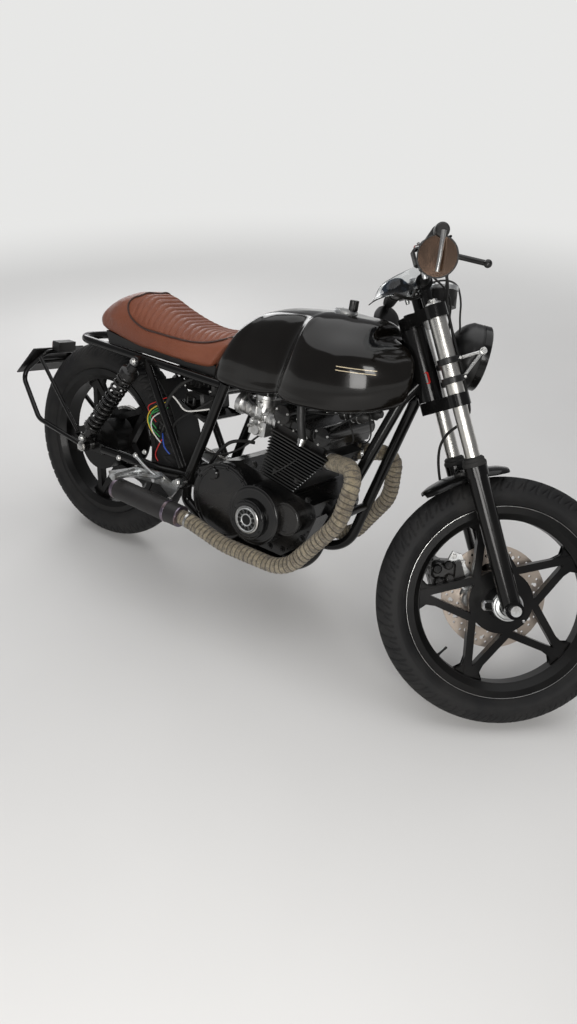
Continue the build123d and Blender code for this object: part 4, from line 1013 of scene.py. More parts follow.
def build_fork(settings):
    """Fork trim: dust collars, top caps, clamp screws, the lamp brackets' bands and axle nuts."""
    shape = Shape(FORK)
    for side in (-1, 1):
        y = side * LEG_OUT
        shape.revolve("grip_rubber", [(18.2, 0), (27.6, 0), (28.6, 3), (28.6, 9), (26, 12), (25.4, 18),
                                      (21, 22), (18.4, 22)], (0, y, 352.4), (0, 0, 1), 44)
        shape.revolve("plain_steel", [(0, 0), (19, 0), (19, 3), (16, 6), (0, 6)], (0, y, 737), (0, 0, 1), 44)
        screw(shape, (0, y, 743), (0, 0, 1), 11, 8, hexed=True)
        for u in (512, 722):
            screw(shape, (24, y - side * 30, u), (1, 0, 0), 4.4, 7)
        for u in (560, 605):
            shape.revolve("satin_black", [(18.4, -7.6), (24.4, -7.6), (25.4, -6.4), (25.4, 6.4), (24.4, 7.6),
                                          (18.4, 7.6)], (0, y, u), (0, 0, 1), 44)
            shape.block("satin_black", (27, y, u), (12, 16, 11), bevel=2)
            screw(shape, (27, y + side * 8, u), (0, side, 0), 3.6, 4)
        screw(shape, (0, side * 122, 0), (0, side, 0), 11, 10, "bare_aluminium", True)
        for u in (-14, 14):
            screw(shape, (14, y + side * 12, u - 20), (1, 0, 0), 4, 6)
    shape.build("fork_trim", "steering", "plain_steel")


def cable(name, body, place, points, radius, finish):
    """A control cable or wire: one smooth spline led by its points, which it follows but doesn't pass
    through."""
    curve = bpy.data.curves.new(name, "CURVE")
    curve.dimensions = "3D"
    spline = curve.splines.new("NURBS")
    spline.points.add(len(points) - 1)
    spots = np.column_stack([place(points), np.ones(len(points))])
    spline.points.foreach_set("co", spots.astype(np.float32).ravel())
    spline.order_u = 3
    spline.use_endpoint_u = True
    spline.resolution_u = 12
    curve.bevel_depth = radius / 1000
    curve.bevel_resolution = 4
    curve.use_fill_caps = True
    curve.materials.append(finish_named(finish))
    return settle(bpy.data.objects.new(name, curve), body)


HOSE_POINTS = ((22, -188, 812.6), (22, -188, 786), (34, -130, 764), (33, -72, 734), (33, -70, 500),
               (24, -56, 462), (-40, 0, 436), (-56, 62, 360), (-60, 66, 240), (-128, 62, 200),
               (-128, 62, 138.4))


def build_hose(settings):
    """The front brake's hose from the master cylinder to the caliper."""
    hose = cable("brake_line", "steering", FORK, HOSE_POINTS, 3.5, "grip_rubber")
    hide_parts("brake_hose")
    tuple(FORK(HOSE_POINTS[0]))


STEERING_CABLES = (
    ("clutch_cable", ((40, 200, 826), (58, 150, 815), (60, 80, 800), (40, 46, 760), (18, 34, 690),
     (14, 30, 600))),
    ("throttle_cable", ((10, -190, 832), (40, -150, 826), (58, -90, 812), (50, -52, 780), (24, -40, 700),
     (18, -36, 610))),
    ("speedo_cable", ((52, 8, 738), (60, 24, 700), (56, 40, 640), (52, 58, 560), (46, 62, 500))),
    ("lamp_wires", ((14, 152, 820), (70, 118, 828), (110, 60, 800), (84, -30, 740), (66, -44, 700),
     (60, -40, 668), (50, -20, 640))),
    ("switch_wires", ((-16, -168, 806), (20, -130, 776), (44, -84, 756), (50, -56, 730), (36, -44, 690),
     (28, -20, 640))),
    ("clutch_outer", ((20, 190, 812), (64, 140, 790), (84, 60, 776), (70, -10, 768), (44, -46, 740),
     (24, -50, 690), (10, -46, 640))),
)
"""Cables that turn with the fork, by their points in its frame."""


def build_controls(settings):
    """Handlebar dressing: grip ribs and flanges, boxes, lever pivots, reservoir lid, mirrors on their
    stems, switch boxes and the control cables."""
    shape = Shape(FORK)
    for side in (-1, 1):
        for k in range(34):
            y = side * (232 + 3.2 * k)
            shape.revolve("grip_rubber", [(16.6, -1.1), (17.6, -0.6), (17.6, 0.6), (16.6, 1.1)],
                          (GRIP_V, y, GRIP_U), (0, 1, 0), 36)
        shape.revolve("grip_rubber", [(16, -2), (21, -1.6), (21, 1.6), (16, 2)], (GRIP_V, side * 225.6, GRIP_U),
                      (0, 1, 0), 40)
        shape.block("plastic_black", (-18, side * 168, 838), (36, 34, 40), bevel=5)
        shape.block("lamp_red" if side < 0 else "bare_aluminium", (-18, side * 168, 861), (20, 12, 6),
                    bevel=1.5)
        screw(shape, (26, side * 207, 836), (0, 0, 1), 6, 4, hexed=True)
        for v in (-26, 0):
            screw(shape, (v, side * 207, 857), (0, 0, 1), 3.4, 4)
    shape.block("plastic_black", (22, -201, 850), (40, 62, 5), bevel=1.5)
    for y in (-226, -176):
        screw(shape, (22, y, 852.5), (0, 0, 1), 3, 1.5)
    shape.build("bar_trim", "steering", "grip_rubber")
    glass = Shape(FORK)
    for side in (-1, 1):
        facing = unit((-0.42, side * 0.88, -0.12))
        centre = np.array((-30, side * 351, 794))
        glass.revolve("satin_black", [(0, -9), (20, -8.6), (36, -5), (41, 0), (42, 3.4), (41.4, 5), (39.4, 5),
                                      (39, 4)], centre, facing, 56)
        # The glass's brown tint is a painted reflection.
        glass.revolve("mirror", [(0, 4.2), (39.2, 4.2), (39.2, 3.4)], centre, facing, 56)
        glass.revolve("satin_black", [(0, 29), (11, 29), (14.4, 26), (15.2, 20), (15.2, 4), (14.6, 0), (0, 0)],
                      (GRIP_V, side * 344, GRIP_U), (0, side, 0), 40)
        glass.bar("plain_steel", [(-13, side * 373, 834), (-18, side * 374.5, 822), (-32, side * 374, 790),
                                  (-45, side * 371, 762)], (6, 5, 4.4, 3.4), 16)
        glass.bar("satin_black", [(-13, side * 351, 834), (-20, side * 352, 822), (-27, side * 351, 808),
                                  (-30, side * 350, 797)], 5, 14)
    glass.build("mirror_heads", "steering", "sidebar_mirror", ["mirrors"])
    for side, at in ((1, (16, 168, 826)), (-1, (-4, -168, 822))):
        block = Shape(FORK)
        block.block("plastic_black", at, (44, 46, 34), bevel=7)
        block.block("satin_black", np.add(at, (20, side * 6, -16)), (30, 34, 26), turn("Y", 24), 5)
        block.revolve("bare_aluminium", [(0, 9), (11, 9), (13, 7), (13, 0), (0, 0)], np.add(at, (14, 0, 17)),
                      (0.3, 0, 1), 28)
        block.revolve("bare_aluminium", [(0, 12), (8, 12), (9, 10), (9, 0), (0, 0)],
                      np.add(at, (22, side * 18, -22)), (0.5, 0, -1), 24)
        block.revolve("bare_aluminium", [(0, 16), (5, 16), (6, 14), (6, 0), (0, 0)], np.add(at, (-16, 0, -18)),
                      (0, 0, -1), 20)
        for k in range(3):
            screw(block, np.add(at, (-16 + 15 * k, side * 23, 4)), (0, side, 0), 3, 3)
        block.build("switches_" + ("left" if side > 0 else "right"), "steering", "plastic_black")
    for name, points in STEERING_CABLES:
        cable(name, "steering", FORK, points, 2.4, "grip_rubber")


SCREEN_CORNERS = (((-80, -92, 786), (-35, -40, 774), (18, 20, 790), (57, 84, 812)),
                  ((-106, -84, 788), (-72, -44, 796), (-26, 16, 828), (36, 84, 850)),
                  ((-124, -68, 788), (-98, -38, 800), (-56, 10, 838), (34, 80, 862)),
                  ((-136, -42, 786), (-120, -22, 796), (-84, 8, 832), (30, 74, 868)))
"""Points on the screen's face, from its edge on the bar outwards, in the fork's frame."""


def build_guard(settings):
    """The short front mudguard and the little screen, each one sheet with a rounded edge, with their
    stays, then the caliper and the speedometer drive. The guard follows the tyre, falls away to both
    sides and narrows to its two tips."""
    a = np.radians(np.linspace(-21, 17, 27))[:, None]
    share = np.linspace(-1, 1, 25)[None]
    end = np.abs(np.linspace(-1, 1, 27))[:, None]
    half = 56 * (1 - 0.42 * np.clip((end - 0.55) / 0.45, 0, 1) ** 2.2)
    y = half * np.sin(share * 1.45) / math.sin(1.45)
    radius = FRONT_RADIUS + 26 - 30 * (1 - np.cos(share * 1.25)) * (half / 56)
    radius = radius - 3 * np.clip((end - 0.8) / 0.2, 0, 1)
    face = np.stack([radius * np.sin(a), y, radius * np.cos(a)], -1)
    shape = Shape(FORK)
    shape.grid(face, "gloss_black", around=False)
    guard = shape.build("guard_blade", "steering", "gloss_black", ["front_mudguard"], crease=60)
    thicken(guard, 0.003)
    stay = Shape(FORK)
    for side in (-1, 1):
        stay.block("gloss_black", (4, side * 58, 341), (30, 40, 7), bevel=2)
        stay.block("gloss_black", (4, side * 46, 332), (44, 7, 20), bevel=2)
        for v in (-12, 20):
            screw(stay, (v, side * 50.5, 334), (0, side, 0), 4.4, 5, hexed=True)
    stay.block("gloss_black", (4, 0, 341), (26, 90, 4), bevel=1)
    stay.build("guard_stays", "steering", "gloss_black")
    net = np.array(SCREEN_CORNERS, float)
    sheet = Shape(FORK)
    sheet.grid(woven(net, 8, 10), "clear_screen", around=False)
    screen = sheet.build("screen_sheet", "steering", "clear_screen", ["flyscreen"], crease=60)
    thicken(screen, 0.0025)
    trim = Shape(FORK)
    edge = through(net[0], 8)
    trim.bar("satin_black", edge + (2, 0, 0), 4.2, 12)
    for at in (edge[4], edge[12], edge[20]):
        screw(trim, at + (-4, 0, 4), (-0.4, 0, 1), 4.4, 3)
    for y, x0 in ((-34, -34), (18, 14)):
        trim.bar("satin_black", [(-6, y, 800), (x0 * 0.5, y, 790), (x0, y, 774)], 4, 12)
    trim.build("screen_trim", "steering", "satin_black")
    part = Shape(FORK)
    for at, size, turning in (
            ((-112, 60, 108), (64, 74, 46), turn("Y", 20)), ((-124, 62, 74), (46, 70, 40), turn("Y", 8)),
            ((-92, 62, 66), (40, 62, 24), turn("Y", -14)), ((-140, 62, 104), (18, 50, 28), turn("Y", 30))):
        part.block("satin_black", at, size, turning, 7)
    for k, (v, u) in enumerate(((-128, 116), (-98, 118), (-132, 84), (-104, 84))):
        part.revolve("engine_black", [(0, 8), (9, 8), (12, 5), (12.6, 0), (0, 0)], (v, 24, u), (0, -1, 0), 28)
    plate = [(-74, 40), (-84, 78), (-92, 128), (-74, 146), (-54, 132), (-50, 96), (-38, 70), (-44, 44),
             (-58, 30)]
    part.slab("bare_aluminium", plate, 44, 50, 1.4)
    for v, u in ((-74, 132), (-66, 52), (-58, 112)):
        screw(part, (v, 44, u), (0, -1, 0), 6, 6, hexed=True)
    part.revolve("bare_aluminium", [(0, -20), (17, -20), (21, -16), (21, 14), (26, 18), (26, 30), (0, 30)],
                 (-64, 52, 16), (0, 1, 0), 40)
    for k in range(4):
        part.revolve("bare_aluminium", [(33, -2), (36.5, -1.6), (36.5, 1.6), (33, 2)], (0, -52 - 6.5 * k, 0),
                     (0, 1, 0), 44)
    part.revolve("bare_aluminium", [(24, -78), (31, -76), (33.6, -70), (33.6, -50), (30, -46), (24, -46)],
                 (0, 0, 0), (0, 1, 0), 48)
    part.block("bare_aluminium", (-40, -62, 12), (40, 20, 24), turn("Y", 16), 5)
    part.build("caliper_and_drive", "steering", "satin_black")


def thicken(piece, thickness):
    """Give a sheet its thickness, inwards and outwards alike, with a rounded edge."""
    solid = piece.modifiers.new("Thickness", "SOLIDIFY")
    solid.thickness, solid.offset = thickness, 0
    edge = piece.modifiers.new("Edge", "BEVEL")
    edge.width, edge.segments, edge.limit_method = thickness * 0.35, 2, "ANGLE"


def build_lamp(settings):
    """Headlamp: rim, domed glass over a bright bowl with its bulb, the ear screws, and the gauge's
    bezel."""
    lamp = Place(FORK.turning @ turn("Y", -RAKE), FORK((68, 0, 614)))
    shape = Shape(lamp)
    shape.revolve("gloss_black", [(71.5, 34), (74, 40), (77.5, 42), (79.6, 40), (79.6, 30), (79.2, 24)],
                  (0, 0, 0), (1, 0, 0), 96)
    r = np.linspace(70.6, 0, 16)
    bulge = 51 - 185 + np.sqrt(185 ** 2 - r ** 2)
    shape.revolve("lamp_glass", np.column_stack([r, bulge]), (0, 0, 0), (1, 0, 0), 96)
    r = np.linspace(70, 12, 14)
    shape.revolve("bright_chrome", np.column_stack([r, 25 + 9.5 * (r / 70) ** 2]), (0, 0, 0), (1, 0, 0), 96)
    shape.revolve("plain_steel", [(11.5, 25), (11, 33), (7, 36), (0, 36.5)], (0, 0, 0), (1, 0, 0), 28)
    shape.build("lamp_front", "steering", "lamp_glass", ["headlight_lens"])
    ears = Shape(FORK)
    for side in (-1, 1):
        screw(ears, (84, side * 104, 606), (0, side, 0), 7, 8, hexed=True)
    ears.build("lamp_ears", "steering", "plain_steel")
    dial = Shape(Place(FORK.turning @ turn("Y", 20), FORK((52, 0, 762))))
    dial.revolve("bare_aluminium", [(0, 24.2), (27, 24.2), (28, 27), (32.5, 27), (34, 25), (34, 17),
                                    (32.4, 15)], (0, 0, 0), (0, 0, 1), 64)
    dial.build("gauge_bezel", "steering", "bare_aluminium")


def build_engine(settings):
    """Engine furniture: case and cover screws, ribs, beads, badge ring, cam end discs, bright fin tips,
    head screws and plug caps."""
    shape = Shape(BIKE)
    for x, z in around(11, 33, 118, 101):
        screw(shape, (602 + x, -148.2, 346 + z), (0, -1, 0), 4.6, 4.5, "engine_black")
    shape.revolve("engine_black", [(96, 0), (95, 1.8), (92, 1.8), (91, 0)], (602, -148.1, 346), (0, -1, 0), 120)
    for centre, radius, y in (((602, 346), 109, -148.3), ((724, 350), 84, -164.3), ((715, 338), 56, -176.3),
                              ((818, 370), 46, -150.3)):
        shape.revolve("engine_black", [(radius - 12, 0.2), (radius - 8, 1.1), (radius - 3.4, -0.2),
                                       (radius - 0.6, -3.4), (radius + 0.5, -9), (radius + 0.7, -13)],
                      (centre[0], y, centre[1]), (0, -1, 0), 120)
    for x, z in around(8, 45, 20, 50):
        screw(shape, (715 + x, -176.2, 338 + z), (0, -1, 0), 3.2, 3, "engine_black")
    shape.revolve("plain_steel", [(35.5, 0), (38, 0.8), (39.5, 2.6), (37, 4.4), (35.4, 4.6)],
                  (715, -176.1, 338), (0, -1, 0), 72)
    badge = [(30, 4.2), (31, 5.6), (33.6, 5.6), (34.4, 4.2)], [(14, 4.2), (15, 5.2), (17.4, 5.2), (18, 4.2)]
    for ring in badge:
        shape.revolve("bare_aluminium", ring, (715, -176.3, 338), (0, -1, 0), 72)
    for k, (x, z) in enumerate(around(12, 30, 0, 24)):
        shape.block("bare_aluminium", (715 + x, -181, 338 + z), (9, 1.8, 3.4), turn("Y", -30 * k), 0.6)
    shape.revolve("engine_black", [(0, 0), (17, 0), (17, 5), (14, 8), (0, 8)], (560, -148, 416), (0, -1, 0), 36)
    for x, z in around(7, 51.4, 0, 60):
        screw(shape, (800 + x, 158.2, 366 + z), (0, 1, 0), 4.6, 4.5)
    for side in (-1, 1):
        for x, z in ((480, 388), (480, 312), (538, 262), (620, 258), (690, 258), (760, 258), (802, 264),
                     (838, 292), (858, 318), (878, 390), (856, 430), (812, 470), (740, 478), (668, 470)):
            shape.revolve("engine_black", [(0, 2.6), (8, 2.6), (9.6, 0), (9.6, -2), (0, -2)],
                          (x, side * 112, z), (0, side, 0), 20)
            screw(shape, (x, side * 114.4, z), (0, side, 0), 5.2, 5, "engine_black", True)
        for k in range(8):
            shape.block("engine_black", (602 + 29 * k, side * 71, 229), (5, 7, 40), bevel=1.2)
        for k in range(5):
            shape.block("engine_black", (828 + 9 * k, side * 112.6, 282 + 13 * k), (4, 6, 30), turn("Y", 42),
                        1.2)
    barrel = Place(BIKE.turning @ turn("Y", 10), BIKE((770, 0, 440)))
    top = Shape(barrel)
    # Painted highlights: bare aluminium strips on the right side's fin tips, standing for glints.
    for k in range(10):
        height = 8 + 9 * k
        top.block("bare_aluminium", (34 + 0.53 * height, -117.4, height), (4.4, 2.4, 3.4), bevel=0.7)
    for side in (-1, 1):
        for x in (-66, 66):
            top.revolve("engine_black", [(0, 3), (18, 3), (19.5, 2), (25.6, 1.6), (26, 0), (26, -3)],
                        (x, side * 118, 183.6), (0, side, 0), 44)
            for along, up in around(3, 120, 30, 20.5):
                screw(top, (x + along, side * 119.6, 183.6 + up), (0, side, 0), 3.4, 3.4)
        for x in (-44, 44):
            screw(top, (x, side * 74, 177), (0, 0, 1), 6, 6, hexed=True)
        for x in (-60, -20, 24, 62):
            screw(top, (x, side * 113, 158), (0, side * 0.4, 1), 4, 5)
    top.build("head_screws", "chassis", "plain_steel")
    for side in (-1, 1):
        plug = Shape(BIKE)
        route = through([(800, side * 133, 683), (806, side * 134, 650), (814, side * 132, 610),
                         (817, side * 127, 590)], 6)
        plug.bar("plastic_black", route, 11, 20)
        plug.revolve("plain_steel", [(6, -18), (9.5, -17), (9.5, -8), (12, -7), (12, 2)],
                     (817, side * 128, 590), (0.05, -side * 0.2, 1), 24)
        plug.build("plug_cap_" + ("right" if side < 0 else "left"), "chassis", "plastic_black")
    shape.build("case_screws", "chassis", "plain_steel")


def build_carburettors(settings):
    """Two carburettors' own forms: ribbed caps, bowls with drain plugs, clamps and a spring, and the
    ignition coils behind them."""
    shape = Shape(BIKE)
    for side in (-1, 1):
        y = side * 62
        shape.revolve("carburettor_metal", [(0, 58), (17, 57.5), (24, 53), (27.5, 50), (27.8, 42), (26.5, 40)],
                      (640, y, 606), (0, 0, 1), 48)
        for along, out in around(4, 90, 45, 22):
            screw(shape, (640 + along, y + out, 659), (0, 0, 1), 2.8, 3)
        shape.revolve("carburettor_metal", [(0, -64), (19, -63), (24, -58), (25, -44), (29, -43), (29.5, -38),
            (27, -36)], (640, y, 606), (0, 0, 1), 40)
        screw(shape, (640, y, 542), (0, 0, -1), 7, 7, hexed=True)
        for x, z in ((-50, 612), (44, 598)):
            shape.revolve("plain_steel", [(24.6, -4.5), (27, -4), (27, 4), (24.6, 4.5)], (640 + x, y, z),
                          (-1, 0, 0.1), 40)
        for k in range(5):
            shape.revolve("carburettor_metal", [(24.4, -1.6), (26.4, -1), (26.4, 1), (24.4, 1.6)],
                          (640 - 12 + 10 * k, y, 606 - 0.5 * k), (1, 0, -0.13), 36)
        for at, size in (((622, y + side * 24, 610), (24, 12, 30)), ((656, y + side * 22, 596), (18, 12, 22)),
                         ((634, y + side * 26, 582), (30, 8, 12)), ((644, y + side * 25, 630), (14, 9, 18))):
            shape.block("carburettor_metal", at, size, bevel=3)
        for at in ((618, y + side * 31, 618), (652, y + side * 29, 606), (640, y + side * 30, 640),
                   (628, y + side * 31, 590), (660, y + side * 28, 588)):
            screw(shape, at, (0, side, 0), 3.6, 4)
        shape.revolve("carburettor_metal", [(0, 10), (13, 10), (15, 7), (15, 0), (0, 0)],
                      (640, y + side * 24, 560), (0, side, 0), 32)
        t = np.linspace(0, 2 * math.pi * 5, 100)
        spring = np.stack([626 + 5 * np.cos(t), y + side * 30 + t * (side * 0.4), 570 + 5 * np.sin(t)], 1)
        shape.bar("plain_steel", spring, 0.9, 8, (0, 1, 0))
    shape.build("carburettor_trim", "chassis", "bare_aluminium")
    coil = Shape(BIKE)
    for side in (-1, 1):
        coil.revolve("plastic_black", [(0, -40), (15, -40), (18, -36), (18, 30), (13, 34), (9, 44), (0, 44)],
                     (905, side * 34, 668), (1, 0, 0.1), 32)
        for k in range(3):
            coil.revolve("plain_steel", [(18, -2), (20, -1.4), (20, 1.4), (18, 2)],
                         (885 + 18 * k, side * 34, 666 + 1.8 * k), (1, 0, 0.1), 32)
    coil.block("wire_red", (1073, -22, 806), (16, 14, 30), turn("Y", -30), 3)
    coil.build("ignition_coils", "chassis", "plastic_black")


CHAIN_PITCH = 15.875
SPROCKET_RADII = 103.4, 42.4
GEARBOX_SPROCKET = 500.0, 322
"""Millimetres: pin to pin, the radii of the chain's two circles, and the small one's middle."""


def build_chain(settings):
    """The drive chain's links along two circles and their two outer tangents: pairs of waisted plates
    with rollers between, in turn wide and narrow."""
    shape = Shape(BIKE)
    big, small = SPROCKET_RADII
    start, stop = np.array((0, REAR_RADIUS)), np.array(GEARBOX_SPROCKET)
    gap = stop - start
    reach = np.linalg.norm(gap)
    tilt, spread = math.atan2(gap[1], gap[0]), math.acos((big - small) / reach)
    rear = np.linspace(tilt + spread, tilt + 2 * math.pi - spread, 60)
    nose = np.linspace(tilt - spread, tilt + spread, 24)
    loop = np.concatenate([start + big * np.stack([np.cos(rear), np.sin(rear)], 1),
                           stop + small * np.stack([np.cos(nose), np.sin(nose)], 1)])
    loop = np.vstack([loop, loop[:1]])
    run = spaced(loop)
    count = int(run[-1] / CHAIN_PITCH) // 2 * 2
    at = np.arange(count + 1) * run[-1] / count
    pins = np.stack([np.interp(at, run, loop[:, k]) for k in range(2)], 1)
    t = np.linspace(0, 2 * math.pi, 17)[:-1]
    waist = np.stack([np.sign(np.cos(t)) * 7.9 + 6.8 * np.cos(t),
                      6.8 * np.sin(t) * (0.72 + 0.28 * np.abs(np.cos(t)))], 1)
    for k in range(count):
        middle, way = (pins[k] + pins[k + 1]) / 2, unit(pins[k + 1] - pins[k])
        flat = middle + waist[:, :1] * way + waist[:, 1:] * np.array((-way[1], way[0]))
        for low in ((61.8, 75.4) if k % 2 else (63.6, 73.6)):
            shape.slab("plain_steel", flat, low, low + 1.6, 0.4)
        shape.revolve("chain_steel", [(0, -8.4), (2.6, -8.4), (2.6, -5), (4.8, -4.9), (4.8, 4.9), (2.6, 5),
                                      (2.6, 8.4), (0, 8.4)], (pins[k, 0], 69.3, pins[k, 1]), (0, 1, 0), 12)
    shape.build("chain_links", "chassis", "plain_steel", ["drive_chain"])


CHASSIS_CABLES = (
    ("loom_main", 5, "grip_rubber", ((440, -60, 660), (380, -84, 640), (330, -92, 590), (300, -94, 530),
     (300, -90, 470), (320, -70, 420))),
    ("loom_second", 4, "grip_rubber", ((470, -70, 600), (430, -90, 560), (370, -96, 520), (330, -92, 470),
     (340, -80, 400))),
    ("wire_red", 1.7, "wire_red", ((300, -86, 560), (262, -98, 536), (238, -100, 520), (246, -98, 500),
     (274, -94, 478))),
    ("wire_red_low", 1.7, "wire_red", ((300, -90, 430), (290, -98, 400), (284, -98, 372), (296, -94, 360))),
    ("wire_green", 1.9, "wire_green", ((306, -88, 540), (270, -100, 520), (254, -104, 492), (266, -100, 468),
     (290, -94, 452))),
    ("wire_green_two", 1.7, "wire_green", ((306, -84, 530), (262, -100, 508), (246, -104, 478),
     (270, -98, 450), (292, -92, 436))),
    ("wire_yellow", 1.7, "wire_yellow", ((304, -88, 548), (262, -104, 524), (244, -106, 486),
     (258, -102, 452), (282, -94, 430))),
    ("wire_white", 1.8, "wire_white", ((300, -90, 520), (270, -104, 500), (262, -106, 470), (276, -102, 440),
     (300, -94, 420))),
    ("wire_blue", 2.2, "wire_blue", ((300, -90, 450), (312, -98, 430), (322, -100, 410), (340, -94, 396))),
    ("cable_white", 2.4, "wire_white", ((330, -92, 572), (356, -100, 566), (387, -102, 543), (430, -100, 556),
     (472, -92, 572))),
    ("breather_hose", 5, "grip_rubber", ((600, -30, 500), (566, -80, 510), (530, -96, 470), (500, -90, 420),
     (470, -60, 396))),
    ("drain_hose", 3, "grip_rubber", ((640, -70, 540), (610, -92, 500), (570, -104, 470), (520, -100, 452),
     (470, -84, 440))),
    ("fuel_hose", 4, "grip_rubber", ((620, -60, 668), (600, -84, 660), (600, -92, 640), (626, -90, 626),
     (640, -72, 620))),
    ("choke_cable", 2.4, "grip_rubber", ((700, -70, 640), (780, -96, 654), (860, -96, 664), (940, -70, 690),
     (1000, -40, 720))),
    ("gas_cable", 2.6, "grip_rubber", ((690, -60, 650), (760, -84, 668), (850, -88, 676), (930, -70, 700),
     (1000, -46, 736))),
    ("plug_lead", 3.4, "grip_rubber", ((804, -128, 690), (820, -104, 676), (860, -70, 684), (900, -40, 700))),
    ("plug_lead_two", 3.4, "grip_rubber", ((800, 128, 690), (830, 100, 680), (870, 60, 690), (900, 30, 704))),
    ("coil_wire", 2.2, "grip_rubber", ((880, -40, 690), (910, -74, 660), (936, -80, 632), (930, -60, 600),
     (900, -40, 590))),
    ("horn_wire", 2.0, "grip_rubber", ((940, -30, 700), (964, -60, 670), (980, -66, 640), (964, -50, 610),
     (940, -30, 600))),
    ("clutch_run", 2.6, "grip_rubber", ((1000, -40, 750), (950, -84, 690), (900, -100, 650), (850, -104, 600),
     (800, -110, 520), (740, -124, 470))),
)
"""Wires, hoses and cables that stay with the frame: radius, finish and points."""


def build_rear(settings):
    """Battery tray and relays under the seat, tail lamp glass, chain adjusters, axle nuts, silencer
    rings, footrest screws, and the loom, hoses and cables of the chassis."""
    shape = Shape(BIKE)
    for side in (-1, 1):
        shape.revolve("tinted_steel", [(24.6, -6), (26, 0), (29, 2), (32.4, 1), (32.6, -4), (32, -10)],
                      (241, side * 203, 276), (-1, 0, 0), 60)
        shape.revolve("tinted_steel", [(32.2, -5), (33.4, -4), (33.4, 4), (32.2, 5)],
                      (452, side * 199.7, 274.4), (1, 0, 0), 60)
        screw(shape, (0, side * 137, REAR_RADIUS), (0, side, 0), 13, 9, hexed=True)
        shape.block("plain_steel", (-26, side * 118, REAR_RADIUS), (26, 8, 14))
        screw(shape, (-40, side * 118, REAR_RADIUS), (-1, 0, 0), 5, 12, hexed=True)
    shape.block("lamp_red", (-288, 0, 583), (6, 66, 26), bevel=3)
    shape.bar("frame_black", [(-206, -146, 567), (-110, -146, 470), (-12, -146, 374)], 6, 14)
    shape.bar("bare_aluminium", through([(262, -158, 378), (320, -160, 352), (389, -160, 334)], 5), 5, 14)
    for x, z, size in ((192, 348, 7), (297, 400, 6), (379, 344, 7), (437, 350, 8), (415, 288, 8),
                       (262, 378, 7)):
        screw(shape, (x, -156, z), (0, -1, 0), size, 7, hexed=True)
    tray = Shape(BIKE)
    tray.block("plastic_black", (404, 0, 632), (112, 144, 66), bevel=7)
    tray.block("plastic_black", (386, 0, 566), (70, 130, 62), turn("Y", -14), 8)
    tray.slab("frame_black", [(330, 560), (336, 552), (440, 520), (462, 532), (460, 540), (440, 530),
                              (340, 562)], -74, 74, 1)
    for x, z, size in ((370, 636, (28, 10, 34)), (404, 632, (24, 12, 30)), (436, 640, (26, 10, 26)),
                       (384, 572, (34, 12, 26))):
        tray.block("plastic_black", (x, -76, z), size, bevel=2.5)
    for x, z in ((356, 610), (452, 616), (420, 650), (352, 650)):
        screw(tray, (x, -72, z), (0, -1, 0), 4, 4)
    tray.block("plastic_black", (300, -96, 470), (26, 18, 30), turn("Y", 20), 2.5)
    tray.build("battery_tray", "chassis", "plastic_black", ["electrics_tray"])
    shape.build("rear_trim", "chassis", "plain_steel")
    for name, radius, finish, points in CHASSIS_CABLES:
        cable(name, "chassis", BIKE, points, radius, finish)


KEPT = {
    "alternator_cover": "engine_black", "cam_cover": "engine_black", "carburettors": "carburettor_metal",
    "clutch_cover": "engine_black", "cover_badge": "gloss_black", "crankcase": "engine_black",
    "cylinder_block": "fin_black", "cylinder_head": "fin_black",
    "footrest_left": "bare_aluminium", "footrest_right": "bare_aluminium", "intake_left": "grip_rubber",
    "intake_right": "grip_rubber", "main_frame": "frame_black", "muffler_left": "exhaust_black",
    "muffler_right": "exhaust_black", "number_plate": "satin_black", "pivot_bolt": "plain_steel",
    "plate_carrier": "frame_black", "rear_axle": "plain_steel", "rear_mudguard": "plastic_black",
    "rear_subframe": "frame_black", "seat_base": "plastic_black", "swingarm": "frame_black",
    "tail_lamp": "plastic_black", "lower_yoke": "gloss_black", "upper_yoke": "gloss_black",
    "fork_tubes": "bright_chrome", "fork_sliders": "gloss_black", "front_axle": "bare_aluminium",
    "headlight_shell": "satin_black", "headlight_brackets": "plain_steel",
    "handlebar": "satin_black", "grips": "grip_rubber", "brake_control": "satin_black",
    "clutch_control": "satin_black", "gauge": "satin_black",
    "brake_caliper": "satin_black", "front_rim": "wheel_black",
    "brake_disc": "disc_steel", "rear_rim": "wheel_black", "side_stand": "frame_black",
}


def build_finishes(settings):
    """The finish of every solid that stays as it was drawn."""
    for name, finish in KEPT.items():
        piece = frame["nodes"][name]
        if not piece.material_slots:
            raise RuntimeError(name + " has no material slot")
        for slot in piece.material_slots:
            slot.material = finish_named(finish)


CAMERA_STAND = (1.82401, -1.48881, 1.19581)
CAMERA_FORWARD, CAMERA_UP = (-0.49555, 0.67496, -0.54668), (-0.32143, 0.44220, 0.83734)


def soft_light(name, at, aim, size, power, colour=(1, 1, 1)):
    """A rectangular soft light at a place, aimed at a point."""
    lamp = bpy.data.lights.new(name, "AREA")
    lamp.shape, lamp.size, lamp.size_y, lamp.energy, lamp.color = "RECTANGLE", size[0], size[1], power, colour
    piece = bpy.data.objects.new(name, lamp)
    bpy.context.scene.collection.objects.link(piece)
    away = np.asarray(aim, float) - at
    piece.matrix_world = Matrix.Translation(at) @ matrix_to(away)


def matrix_to(direction, up=(0, 0, 1)):
    """Turning that points -Z along a direction with +Y towards up."""
    z = -unit(direction)
    x = unit(np.cross(up, z))
    y = np.cross(z, x)
    return Matrix(np.column_stack([x, y, z]).tolist()).to_4x4()


